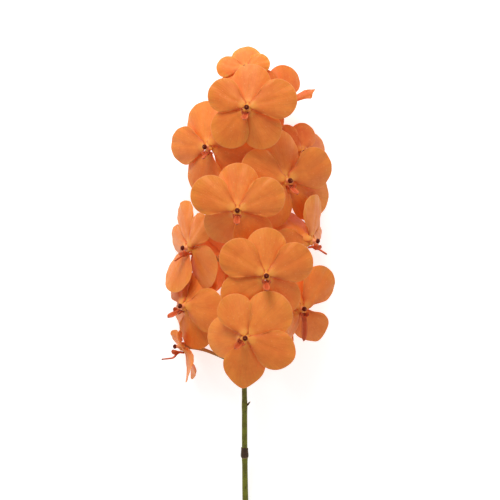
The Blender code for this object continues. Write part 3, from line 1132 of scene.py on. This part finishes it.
# The middle lines of lips' tongues, from foot to tip, as Y and Z in the bloom's frame: the
# usual one, one that reaches forward, and one that hangs.
TONGUE: Line = ((-3.6, 2.2), (-5.4, 4.4), (-7.0, 7.4), (-8.6, 10.2), (-10.0, 12.6))
FORWARD_TONGUE: Line = ((-3.6, 2.2), (-6.4, 3.4), (-9.0, 6.0), (-9.8, 10.0), (-10.4, 15.0))
HANGING_TONGUE: Line = ((-3.6, 2.2), (-7.0, 4.4), (-12.0, 5.6), (-18.0, 6.0), (-24.0, 5.6))


def in_the_middle(line: Line) -> Array:
    """Knots on the bloom's middle plane, from their Y and Z."""
    return np.insert(np.array(line), 0, 0.0, axis=1)


@dataclass(frozen=True)
class Lip:
    """The lip: a spur behind, two side lobes, and a channelled tongue, in millimetres."""

    spur_path: Line = ((-5.0, -2.9), (-4.5, -0.9), (-4.3, 0.8), (-4.7, 3.4))
    spur_radii: tuple = (0.55, 0.85, 1.0, 1.1)
    spur_rings: int = 16
    spur_sides: int = 12
    spur_stain: float = 0.15
    tongue_path: Line = TONGUE
    tongue_widths: tuple = (1.3, 1.8, 2.3, 2.3, 1.7)
    tongue_dish: float = 0.7
    tongue_stain: float = 0.85
    lobe_path: tuple = ((1.1, -4.9, 2.2), (2.2, -4.7, 4.4), (3.0, -4.2, 6.9))
    lobe_widths: tuple = (1.2, 1.9, 1.7)
    lobe_dish: float = 0.35
    lobe_stain: float = 0.55
    end: float = 0.22
    ridge: float = 0.16
    rim_half: float = 0.16
    middle_half: float = 0.26
    rows: int = 22
    columns: int = 17

    def spur(self) -> Skin:
        """The hollow spur behind the lip, as a tube that narrows to a round end.

        Returns:
            The skin.
        """
        share = np.linspace(0.0, 1.0, self.spur_rings)
        path = along_curve(in_the_middle(self.spur_path), share)
        rounded = np.sqrt(1.0 - fading(share, (-0.02, 0.12)) ** 2)
        radii = between(self.spur_radii, share) * rounded
        made = tube_skin(path, radii, self.spur_sides, (1.0, 0.0, 0.0))
        made.grain[:, 1] *= 0.3
        return made.marked(stain=self.spur_stain * smooth(made.points[:, 2], 0.0, 3.0))

    def strip(self, path: Array, widths: Array, side: Array, dish: float) -> Skin:
        """A blade along a path, with a rounded end.

        A point is the path's plus the side direction times v times the width, raised by
        the dish times v squared. The width falls to nothing over the last fifth as a
        circle does, and three low ridges run along the middle.

        Args:
            path: Knots of the middle line.
            widths: Half widths at the knots.
            side: The direction across.
            dish: How far the edges stand up from the middle line.

        Returns:
            The skin.
        """
        share = np.linspace(0.0, 1.0, self.rows)
        share = share + 0.12 * np.sin(2.0 * math.pi * share) / math.pi
        line = along_curve(path, share)
        end = np.clip((share - (1.0 - self.end)) / self.end, 0.0, 1.0)
        wide = between(widths, share) * np.sqrt(np.maximum(1.0 - end**2, 0.004))
        up = unit(np.cross(unit(np.gradient(line, axis=0)), side))
        v = np.linspace(1.0, -1.0, self.columns)
        ridge = self.ridge * np.cos(3.0 * math.pi * v) * bell(v, 0.0, 0.55)
        rise = dish * v**2 + ridge * np.sin(math.pi * share)[:, None]
        points = line[:, None, :] + side * (wide[:, None] * v)[..., None]
        points = points + up[:, None, :] * rise[..., None]
        half = self.rim_half + self.middle_half * (1.0 - v**2) * (1.0 - 0.5 * share[:, None])
        made = blade_skin(points, half, grain_of(0.5 + 0.5 * v, share[:, None]))
        made.marks.clear()
        return made

    def tongue(self) -> Skin:
        """The middle lobe: a channelled blade that comes forward and turns down.

        Returns:
            The skin.
        """
        path, side = in_the_middle(self.tongue_path), np.array([1.0, 0.0, 0.0])
        made = self.strip(path, np.array(self.tongue_widths), side, self.tongue_dish)
        return made.marked(stain=self.tongue_stain * fading(made.grain[:, 1], (0.12, 0.5)))

    def side_lobe(self, way: float) -> Skin:
        """One of the two small upright lobes beside the column.

        Args:
            way: 1 for the right one, or -1 for the left.

        Returns:
            The skin.
        """
        path = np.array(self.lobe_path) * np.array([way, 1.0, 1.0])
        side = unit(np.array([0.35, way, 0.0]))
        made = self.strip(path, np.array(self.lobe_widths), side, self.lobe_dish)
        return made.marked(stain=self.lobe_stain * fading(made.grain[:, 1], (0.2, 0.7)))

    def skin(self) -> Skin:
        """The whole lip in the bloom's frame."""
        return joined([self.spur(), self.tongue(), self.side_lobe(1.0), self.side_lobe(-1.0)])


@dataclass(frozen=True)
class Column:
    """The column and its anther cap, in millimetres, with its zones as shares of its height."""

    start: float = 0.6
    end: float = 6.6
    radius: float = 1.86
    waist: float = 0.78
    waist_at: float = 0.45
    cap: float = 0.98
    cap_from: float = 0.62
    cap_full: float = 0.68
    dome: float = 0.3
    notch: float = 0.09
    hollow: float = 0.32
    hollow_at: float = 0.46
    cleft: float = 0.12
    eye_radii: Span = (0.25, 0.55)
    rings: int = 34
    sides: int = 24

    def skin(self) -> Skin:
        """A column that narrows to a waist and ends in a domed cap.

        The radius falls from the foot to the waist by a smooth step and swells again to
        the cap. The cap is an ellipse, a notch runs round under it, and a hollow is
        pressed into the side that faces the lip.

        Returns:
            The skin, with the marks "cap" and "eye".
        """
        share = 1.0 - (1.0 - np.linspace(0.0, 1.0, self.rings)) ** 1.7
        body = 1.0 - (1.0 - self.waist) * smooth(share, 0.0, self.waist_at)
        body = body + (self.cap - self.waist) * smooth(share, self.waist_at, self.cap_full)
        dome = np.clip((share - (1.0 - self.dome)) / self.dome, 0.0, 1.0)
        body = body * np.sqrt(np.maximum(1.0 - dome**2, 0.002))
        body = body - self.notch * bell(share, self.cap_from, 0.025)
        turn = turns_round(self.sides)
        path = np.zeros((self.rings, 3))
        path[:, 2] = self.start + (self.end - self.start) * share
        down = 0.5 * (1.0 + np.cos(turn - 1.5 * math.pi))
        hollow = self.hollow * down**4 * bell(share, self.hollow_at, 0.12)[:, None]
        radii = self.radius * body[:, None] * (1.0 - hollow)
        cleft = np.cos(turn) ** 20 * smooth(share, 0.75, 0.9)[:, None]
        made = tube_skin(path, radii * (1.0 - self.cleft * cleft), self.sides, (0.0, 1.0, 0.0))
        along = np.concatenate([np.repeat(share, self.sides), [0.0, 1.0]])
        made.grain[:, 1] = along
        away = np.hypot(made.points[:, 0], made.points[:, 1])
        eye = smooth(along, 0.8, 0.9) * fading(away, self.eye_radii)
        cap = smooth(along, self.cap_from - 0.01, self.cap_from + 0.03)
        return made.marked(cap=cap, eye=eye)


@dataclass(frozen=True)
class Bloom:
    """Where one bloom sits, where it faces, and how its tepals are held.

    The place is the middle of its column, in millimetres, and the turn is its yaw, pitch
    and roll in degrees. The joint is where its stalk leaves the stem, along Y. The lists
    give, in the order of Position, what is added to each lift, turn and twist, the size
    and the width as shares of the usual ones, and how much longer the tip is. The reflex
    bends every tip back, and the tongue is the middle line of the lip's. The shade is
    painted shade, which deepens the colour of the whole bloom where it lies in shadow and
    lightens it where it is negative. Ripe makes its tips yellower.
    """

    number: int
    place: Place
    turn: tuple[float, float, float]
    scale: float
    joint: float
    lifts: tuple[float, ...] = (0.0,) * 5
    turns: tuple[float, ...] = (0.0,) * 5
    twists: tuple[float, ...] = (0.0,) * 5
    sizes: tuple[float, ...] = (1.0,) * 5
    widths: tuple[float, ...] = (1.0,) * 5
    points: tuple[float, ...] = (0.0,) * 5
    reflex: float = 0.12
    tongue: Line = TONGUE
    shade: float = 0.0
    ripe: float = 0.4
    ripples: Span = (0.2, 0.45)
    tints: Span = (-0.08, 0.12)
    ripeness: Span = (0.6, 1.2)
    column_middle: float = 4.2
    rows: int = 26
    columns: int = 49

    def tepals(self) -> list[Tepal]:
        """The five tepals as they are held in this bloom, each with a rim of its own.

        Returns:
            The tepals in the order of Position.
        """
        draw = np.random.default_rng(SEED + self.number)
        made = []
        for position, kind in TEPALS.items():
            k = position.value
            held = replace(
                kind,
                length=kind.length * self.sizes[k],
                half_width=kind.half_width * self.sizes[k] * self.widths[k],
                lift=kind.lift + self.lifts[k],
                turn=self.turns[k],
                twist=self.twists[k],
                point=self.points[k],
                reflex=self.reflex,
                ripple=float(draw.uniform(*self.ripples)),
                phase=float(draw.uniform(0.0, 2.0 * math.pi)),
            )
            made.append(held)
        return made

    def matrix(self) -> Matrix:
        """From the bloom's own frame to the world, in metres.

        Returns:
            The matrix.
        """
        yaw, pitch, roll = (math.radians(a) for a in self.turn)
        level = math.cos(pitch)
        face = Vector((math.sin(yaw) * level, math.sin(pitch), math.cos(yaw) * level))
        up = Vector((0.0, 1.0, 0.0)) - face * face.y
        up.normalize()
        right = up.cross(face)
        dorsal = up * math.cos(roll) + right * math.sin(roll)
        turn = Matrix((dorsal.cross(face), dorsal, face)).transposed().to_4x4()
        middle = Vector(self.place) - face * self.column_middle * self.scale
        return Matrix.Translation(middle * MM) @ turn @ Matrix.Scale(self.scale * MM, 4)

    def tepals_skin(self) -> Skin:
        """The five tepals and the boss they grow from, with their colour marks.

        Returns:
            The skin.
        """
        draw = np.random.default_rng(SEED * 2 + self.number)
        # The bloom's painted shade deepens the boss and every tepal, and each tepal adds a random
        # tone.
        skins = [Receptacle().skin().marked(tint=self.shade, ripe=0.0)]
        for tepal in self.tepals():
            tint = self.shade + float(draw.uniform(*self.tints))
            ripe = self.ripe * float(draw.uniform(*self.ripeness))
            skins.append(tepal.skin(self.rows, self.columns).marked(tint=tint, ripe=ripe))
        return joined(skins)

    def build(self) -> None:
        """Builds the tepals, the lip and the column, each in the place of its CAD node."""
        place = self.matrix()
        tag = f"{self.number:02d}"
        plan = (
            ("tepals", self.tepals_skin(), TEPAL_SKIN, Slot.TEPAL),
            ("lip", Lip(tongue_path=self.tongue).skin(), LIP_SKIN, Slot.LIP),
            ("column", Column().skin(), COLUMN_SKIN, Slot.COLUMN),
        )
        for part, skin, finish, slot in plan:
            piece_from(f"{part}_{tag}", skin, finish, [f"bloom_{tag}_{part}"], place)


@dataclass(frozen=True)
class Stem:
    """The stem, its stalks and its bracts, in millimetres, in the world's frame."""

    route: tuple[Place, ...] = (
        (-2.6, -181.0, 2.2),
        (-3.6, -150.0, 5.0),
        (-4.0, -110.0, 14.0),
        (-4.0, -75.0, 26.0),
        (-5.0, -45.0, 33.0),
        (-4.0, 20.0, 38.0),
        (-2.0, 80.0, 38.0),
        (-1.0, 120.0, 38.0),
        (-1.0, 138.0, 38.0),
    )
    averaged: float = 6.0
    radius: float = 2.3
    tip_radius: float = 1.3
    swelling: float = 0.22
    swelling_width: float = 3.5
    flute: float = 0.018
    oval: float = 0.012
    stalk_radius: float = 0.95
    ovary_radius: float = 1.5
    rib: float = 0.10
    leaving: float = 0.4
    arriving: float = 0.45
    back_of_receptacle: float = -3.0
    sunk_in: float = 1.2
    sheath_middle: float = -119.0
    sheath_length: float = 7.4
    sheath_swelling: float = -122.0
    spike_bract: float = -83.0
    bract_length: float = 4.6
    bract_half: float = 1.25
    bract_below: float = 2.6
    steps: int = 260
    sides: int = 30
    stalk_sides: int = 18
    sheath_sides: int = 40
    bract_sides: int = 14

    def middle(self, y: Array) -> Array:
        """Points on the middle line, which is the route averaged over 12 mm.

        Args:
            y: Places along Y.

        Returns:
            The points.
        """
        knots = np.array(self.route)
        near = np.linspace(-self.averaged, self.averaged, 13)
        y = np.atleast_1d(np.asarray(y, float))
        around = np.clip(y[:, None] + near, knots[0, 1], knots[-1, 1])
        x, z = (np.interp(around, knots[:, 1], knots[:, k]).mean(axis=1) for k in (0, 2))
        return np.stack([x, y, z], axis=1)

    def share_at(self, y: Array) -> Array:
        """How far along the stem y lies, from 0 at the cut end to 1 at the top."""
        low, high = self.route[0][1], self.route[-1][1]
        return (np.asarray(y, float) - low) / (high - low)

    def radius_at(self, y: Array) -> Array:
        """The radius, which falls evenly along the stem and swells a little at each bract.

        Args:
            y: Places along Y.

        Returns:
            The radii.
        """
        even = self.radius + (self.tip_radius - self.radius) * self.share_at(y)
        for place in (self.sheath_swelling, self.spike_bract):
            even = even + self.swelling * bell(y, place, self.swelling_width)
        return even

    def stem_skin(self) -> Skin:
        """The stem from its flat cut end to the top stalk, with six faint flutes.

        Returns:
            The skin.
        """
        low, high = self.route[0][1], self.route[-1][1]
        y = np.linspace(low, high, self.steps)
        y = np.concatenate([low + np.array([0.0, 0.02, 0.05, 0.12]), y[1:], [high + 0.8]])
        cut = np.ones(len(y))
        cut[:4] = (0.45, 0.86, 0.96, 1.0)
        cut[-1] = 0.4
        turn = turns_round(self.sides)
        flute = 1.0 + self.flute * np.cos(6.0 * turn + 0.02 * y[:, None])
        flute = flute + self.oval * np.sin(2.0 * turn + 0.11 * y[:, None])
        radii = (self.radius_at(y) * cut)[:, None] * flute
        made = tube_skin(self.middle(y), radii, self.sides)
        made.grain[:-2, 1] = np.repeat(self.share_at(y), self.sides)
        made.grain[-2:, 1] = (0.0, 1.0)
        return made

    def stalk_path(self, bloom: Bloom, s: Array) -> Array:
        """The middle line of a stalk, from inside the stem to inside the receptacle.

        A cubic curve leaves the stem outwards and arrives along the bloom's back.

        Args:
            bloom: The bloom that the stalk carries.
            s: Shares along the curve, from 0 to 1.

        Returns:
            A point for each share, and one more a little way into the receptacle.
        """
        start = self.middle(bloom.joint)[0]
        turn = np.array(bloom.matrix())
        back = -unit(turn[:3, 2])
        seat = (turn @ np.array([0.0, 0.0, self.back_of_receptacle, 1.0]))[:3] / MM
        end = seat + back * 0.3
        out = end - start
        reach = float(np.linalg.norm(out))
        out[1] *= 0.5
        first = start + unit(out) * reach * self.leaving
        last = end + back * reach * self.arriving
        s = s[:, None]
        path = start * (1.0 - s) ** 3 + first * 3.0 * s * (1.0 - s) ** 2
        path = path + last * 3.0 * s**2 * (1.0 - s) + end * s**3
        return np.vstack([path, end - back * self.sunk_in])

    def stalk_skin(self, bloom: Bloom) -> Skin:
        """A bloom's stalk, whose last part is the ovary, thicker and with six twisted ribs.

        Args:
            bloom: The bloom that it carries.

        Returns:
            The skin.
        """
        s = np.linspace(0.0, 1.0, 60)
        path = self.stalk_path(bloom, s)
        s = np.append(s, 1.0)
        swell = smooth(s * 1.6 - 0.5)
        radii = self.stalk_radius + (self.ovary_radius - self.stalk_radius) * swell
        wave = np.cos(6.0 * turns_round(self.stalk_sides) + 5.0 * s[:, None])
        radii = radii[:, None] * (1.0 + self.rib * swell[:, None] * wave)
        made = tube_skin(path, radii, self.stalk_sides, (0.0, 1.0, 0.0))
        made.grain[:, 0] = (made.grain[:, 0] * 0.5) % 1.0
        return made

    def sheath_skin(self) -> Skin:
        """The dry bract round the lower stem: a sleeve with a ragged, flared upper edge.

        Its radius is the stem's plus a bulge that is widest a third of the way up. Then
        it folds in to the stem. The upper edge is longer on one side.

        Returns:
            The skin, with the mark "faded" at its foot.
        """
        share = np.array([0.0, 0.02, 0.06, 0.14, 0.3, 0.5, 0.7, 0.85, 0.95, 1.0, 0.98])
        grown = np.array([-0.3, 0.12, 0.3, 0.5, 0.68, 0.6, 0.5, 0.48, 0.55, 0.5, -0.2])
        y = self.sheath_middle + self.sheath_length * (share - 0.5)
        even = np.linspace(-0.5, 0.5, len(share))
        path = self.middle(self.sheath_middle + self.sheath_length * even)
        turn = turns_round(self.sheath_sides)
        radii = (self.radius_at(y) + grown)[:, None] * (1.0 + 0.03 * np.cos(9.0 * turn))
        made = tube_skin(path, radii, self.sheath_sides)
        ragged = 0.9 * np.cos(turn - 1.2) + 0.35 * np.sin(5.0 * turn) + 0.2 * np.sin(11.0 * turn)
        longer = y - path[:, 1]
        edge = np.repeat(longer, self.sheath_sides) + np.outer(share**2, ragged).ravel()
        made.points[:-2, 1] += edge
        made.points[-2:, 1] += longer[[0, -1]]
        made.grain[:-2, 1] = np.repeat(share, self.sheath_sides)
        return made.marked(faded=0.8 * bell(made.grain[:, 1], 0.05, 0.05))

    def bract_skin(self, y: float, out: Array, faded: float) -> Skin:
        """A small pointed bract on the stem: a bent oval cone that hugs what it carries.

        Args:
            y: Its place along the stem.
            out: The direction that it points to, across the stem.
            faded: How tan it is, from 0 to 1.

        Returns:
            The skin.
        """
        start = self.middle(y)[0]
        way = unit(np.asarray(out, float))
        tip = start + (way + np.array([0.0, 0.4, 0.0])) * self.bract_length
        bend = start + way * 2.4
        knots = np.array([start + way * 0.6, bend, 0.5 * (bend + tip), tip])
        share = np.linspace(0.0, 1.0, 14)
        path = along_curve(knots, share)
        wide = self.bract_half * np.sqrt(np.maximum(1.0 - share**2.2, 0.003))
        radii = np.stack([wide, 0.6 * wide], axis=1)
        made = tube_skin(path, radii, self.bract_sides, (0.0, 1.0, 0.2))
        return made.marked(faded=faded * smooth(made.grain[:, 1], 0.3, 1.0))

    def build(self, blooms: tuple[Bloom, ...]) -> None:
        """Builds the stem, the stalks and the bracts, which stand for the CAD's one stem.

        Args:
            blooms: The blooms, each with its stalk and a bract at the stalk's foot.
        """
        stalks = joined([self.stalk_skin(bloom) for bloom in blooms])
        bracts = [self.sheath_skin(), self.bract_skin(self.spike_bract, [1.0, 0.3, 0.3], 0.1)]
        for bloom in blooms:
            out = np.array(bloom.place) - self.middle(bloom.joint)[0]
            y = bloom.joint - self.bract_below
            bracts.append(self.bract_skin(y, [out[0], 0.0, out[2]], 0.7))
        piece_from("stem_and_rachis", self.stem_skin(), STEM_SKIN, ["stem"])
        piece_from("stalks", stalks, STALK_SKIN, ["stem"])
        piece_from("bracts", joined(bracts), DRY_BRACT, ["stem"])


# The blooms, from the lowest on the stem to the highest. A bloom's shade is painted shade.
BLOOMS = (
    Bloom(
        number=1, place=(-54.5, -39.3, 27.0), turn=(-76.0, 2.0, 0.0), scale=0.95, joint=-52.0,
        lifts=(-45.0, -5.0, 0.0, -34.0, -8.0), turns=(0.0, 0.0, -9.0, 5.0, -1.0),
        sizes=(0.4, 0.5, 0.6, 0.8, 0.8), widths=(1.0, 1.0, 1.0, 0.9, 0.95),
        points=(0.0, 0.0, 0.0, 2.5, 2.5), reflex=-0.35, tongue=FORWARD_TONGUE,
    ),
    Bloom(
        number=2, place=(-3.4, -30.4, 95.0), turn=(-3.0, 0.0, 45.0), scale=1.0, joint=-48.0,
        lifts=(12.0, 0.0, 4.0, -20.0, 0.0), turns=(0.0, 6.0, -6.0, -9.0, 4.0),
        sizes=(1.2, 0.92, 1.02, 1.0, 1.0), points=(0.0, 0.0, 1.0, 0.0, 3.5),
    ),
    Bloom(
        number=3, place=(39.0, -10.9, 52.0), turn=(26.0, -5.0, 0.0), scale=0.97, joint=-38.0,
        lifts=(0.0, 0.0, 6.0, 15.0, 0.0), turns=(18.0, 0.0, 22.0, 10.0, 2.0),
        twists=(0.0, 0.0, 0.0, 38.0, -38.0), sizes=(1.0, 1.0, 1.04, 0.95, 0.95),
        points=(0.0, 0.0, 0.0, 3.0, 3.5), tongue=HANGING_TONGUE,
    ),
    Bloom(
        number=4, place=(-50.6, -9.1, 43.0), turn=(-37.0, 3.0, 28.0), scale=1.0, joint=-28.0,
        lifts=(-5.0, -14.0, 6.0, -21.0, 0.0), turns=(0.0, 0.0, -8.0, 10.0, 6.0),
        sizes=(0.95, 0.92, 1.04, 0.8, 0.95), widths=(1.0, 1.0, 1.1, 1.0, 1.0),
    ),
    Bloom(
        number=5, place=(13.4, -17.4, 10.0), turn=(160.0, 10.0, 0.0), scale=0.88, joint=-17.0,
    ),
    Bloom(
        number=6, place=(11.5, 13.5, 94.0), turn=(5.0, -3.0, 3.0), scale=1.02, joint=-5.0,
        lifts=(6.0, 0.0, 0.0, 0.0, 0.0), turns=(0.0, -1.0, -2.0, -8.0, 0.0),
        sizes=(1.0, 1.0, 1.0, 1.05, 1.0),
    ),
    Bloom(
        number=7, place=(-48.5, 33.2, 40.0), turn=(-60.0, 0.0, -14.0), scale=1.0, joint=12.0,
        lifts=(10.0, 0.0, 0.0, 34.0, 8.0), turns=(14.0, 0.0, 6.0, 3.0, -6.0),
        sizes=(1.14, 1.0, 0.84, 0.98, 1.0), widths=(0.8, 0.8, 1.0, 1.09, 1.08),
    ),
    Bloom(
        number=8, place=(48.5, 38.2, 48.0), turn=(62.0, 0.0, 8.0), scale=1.0, joint=32.0,
        lifts=(18.0, -46.0, -4.0, -18.0, -28.0), turns=(0.0, -30.0, -6.0, -25.0, -10.0),
        sizes=(1.02, 1.05, 0.8, 1.0, 0.9), widths=(1.0, 1.1, 1.0, 1.0, 1.0),
    ),
    Bloom(
        number=9, place=(-16.4, 28.7, 8.6), turn=(145.0, 10.0, 0.0), scale=0.9, joint=32.0,
    ),
    Bloom(
        number=10, place=(-9.0, 59.7, 85.0), turn=(0.0, -2.0, 2.0), scale=1.0, joint=44.0,
        lifts=(0.0, 0.0, 0.0, -18.0, 1.0), turns=(0.0, 2.0, -2.0, -6.0, 0.0),
        sizes=(1.05, 1.02, 1.02, 0.95, 0.97),
    ),
    Bloom(
        number=11, place=(28.7, 81.7, 58.0), turn=(28.0, 0.0, -9.0), scale=1.04, joint=56.0,
        lifts=(0.0, 0.0, 8.0, 12.0, 6.0), turns=(0.0, -2.0, -15.0, -2.0, 21.0),
        sizes=(1.14, 1.0, 1.06, 1.0, 1.2), widths=(1.0, 1.0, 1.0, 1.05, 1.0),
    ),
    Bloom(
        number=12, place=(39.6, 103.6, 33.0), turn=(20.0, 5.0, 14.0), scale=0.85, joint=68.0,
        lifts=(0.0, 0.0, -26.0, 0.0, 0.0), sizes=(0.85, 0.85, 1.0, 1.0, 1.0), shade=0.3,
    ),
    Bloom(
        number=13, place=(-32.4, 106.0, 58.0), turn=(-32.0, 0.0, -24.0), scale=1.0, joint=80.0,
        turns=(0.0, 0.0, -18.0, -8.0, 4.0), sizes=(1.12, 1.0, 1.0, 1.1, 1.08),
    ),
    Bloom(
        number=14, place=(8.9, 94.9, 9.0), turn=(215.0, 10.0, 0.0), scale=0.9, joint=100.0,
    ),
    Bloom(
        number=15, place=(-2.4, 132.9, 84.0), turn=(-6.0, 2.0, 6.0), scale=1.0, joint=104.0,
        turns=(0.0, 6.0, -6.0, 0.0, 2.0), sizes=(1.0, 0.88, 1.02, 0.97, 0.94),
    ),
    Bloom(
        number=16, place=(26.9, 140.1, 44.0), turn=(20.0, 4.0, 8.0), scale=0.88, joint=136.0,
        lifts=(0.0, 0.0, -6.0, 0.0, -38.0), turns=(0.0, 0.0, 2.0, 0.0, -6.0),
        twists=(0.0, 0.0, 60.0, 0.0, 0.0), sizes=(1.0, 1.0, 0.78, 1.0, 0.65),
        widths=(1.0, 1.0, 0.5, 1.0, 1.0), points=(0.0, 0.0, 6.0, 0.0, 0.0), shade=0.35,
    ),
    Bloom(
        number=17, place=(-3.6, 164.3, 50.0), turn=(-4.0, 30.0, 0.0), scale=0.78, joint=128.0,
        turns=(0.0, 10.0, 8.0, 0.0, 0.0), sizes=(1.0, 0.8, 0.72, 1.0, 1.0), shade=-0.15,
        ripe=1.0,
    ),
)


@dataclass(frozen=True)
class Studio:
    """The white table, the soft lights and the camera straight above, in metres."""

    table_size: float = 8.0
    table_level: float = -0.0003
    table_points: int = 41
    camera_height: float = 1.6
    middle_y: float = 0.0317
    view_width: float = 0.36
    view_height: float = 1.54
    sensor: float = 36.0
    clip_end: float = 20.0
    world_light: float = 0.42
    lamps_aim: Place = (0.0, 0.03, 0.04)
    key_place: Place = (-0.35, 1.35, 1.0)
    key_size: float = 0.8
    key_energy: float = 18.5
    fill_place: Place = (0.75, -0.5, 1.4)
    fill_size: float = 1.1
    fill_energy: float = 3.0

    def floor(self) -> None:
        """The white table, a flat grid a little below the surface that the spray lies on."""
        side = np.linspace(-0.5, 0.5, self.table_points) * self.table_size
        x, y = np.meshgrid(side, side)
        points = np.stack([x, y, np.full_like(x, self.table_level)], axis=-1).reshape(-1, 3)
        mesh = bpy.data.meshes.new("white_table")
        faces = quads(self.table_points, self.table_points)
        mesh.from_pydata(points.tolist(), [], faces.tolist())
        mesh.materials.append(FloorFinish().build())
        made = bpy.data.objects.new("white_table", mesh)
        bpy.context.scene.collection.objects.link(made)

    def lamp(self, name: str, place: Place, size: float, energy: float) -> None:
        """A square soft light that faces the spray.

        Args:
            name: Its name.
            place: Where it hangs.
            size: The side of the square.
            energy: Its power in watts.
        """
        data = bpy.data.lights.new(name, "AREA")
        data.size = size
        data.energy = energy
        made = bpy.data.objects.new(name, data)
        made.location = place
        way = Vector(self.lamps_aim) - Vector(place)
        made.rotation_euler = way.to_track_quat("-Z", "Y").to_euler()
        bpy.context.scene.collection.objects.link(made)

    def world(self) -> None:
        """The even white light from all round."""
        made = bpy.data.worlds.new("studio")
        made.use_nodes = True
        light = made.node_tree.nodes["Background"]
        light.inputs["Color"].default_value = (1.0, 1.0, 1.0, 1.0)
        light.inputs["Strength"].default_value = self.world_light
        bpy.context.scene.world = made

    def camera(self) -> None:
        """The camera, straight above the middle of the picture."""
        data = bpy.data.cameras.new("camera")
        data.sensor_width = self.sensor
        data.lens = self.sensor / (self.view_width / self.view_height)
        data.clip_end = self.clip_end
        made = bpy.data.objects.new("camera", data)
        made.location = (0.0, self.middle_y, self.camera_height)
        bpy.context.scene.collection.objects.link(made)
        bpy.context.scene.camera = made

    def build(self) -> None:
        """Puts up the table, the lights, the world's light and the camera."""
        self.floor()
        self.lamp("key", self.key_place, self.key_size, self.key_energy)
        self.lamp("fill", self.fill_place, self.fill_size, self.fill_energy)
        self.world()
        bpy.context.scene.view_settings.view_transform = "Standard"
        self.camera()
        LOG.info("studio: table, two lamps, camera")


def corners(box: tuple[Vector, Vector]) -> list[list[float]]:
    """A box's lowest and highest corner as plain lists."""
    return [list(box[0]), list(box[1])]


def main() -> None:
    logging.basicConfig(level=logging.INFO, format="%(message)s")
    for bloom in BLOOMS:
        bloom.build()
    Stem().build(BLOOMS)
    Studio().build()
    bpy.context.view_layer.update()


if __name__ == "__main__":
    main()
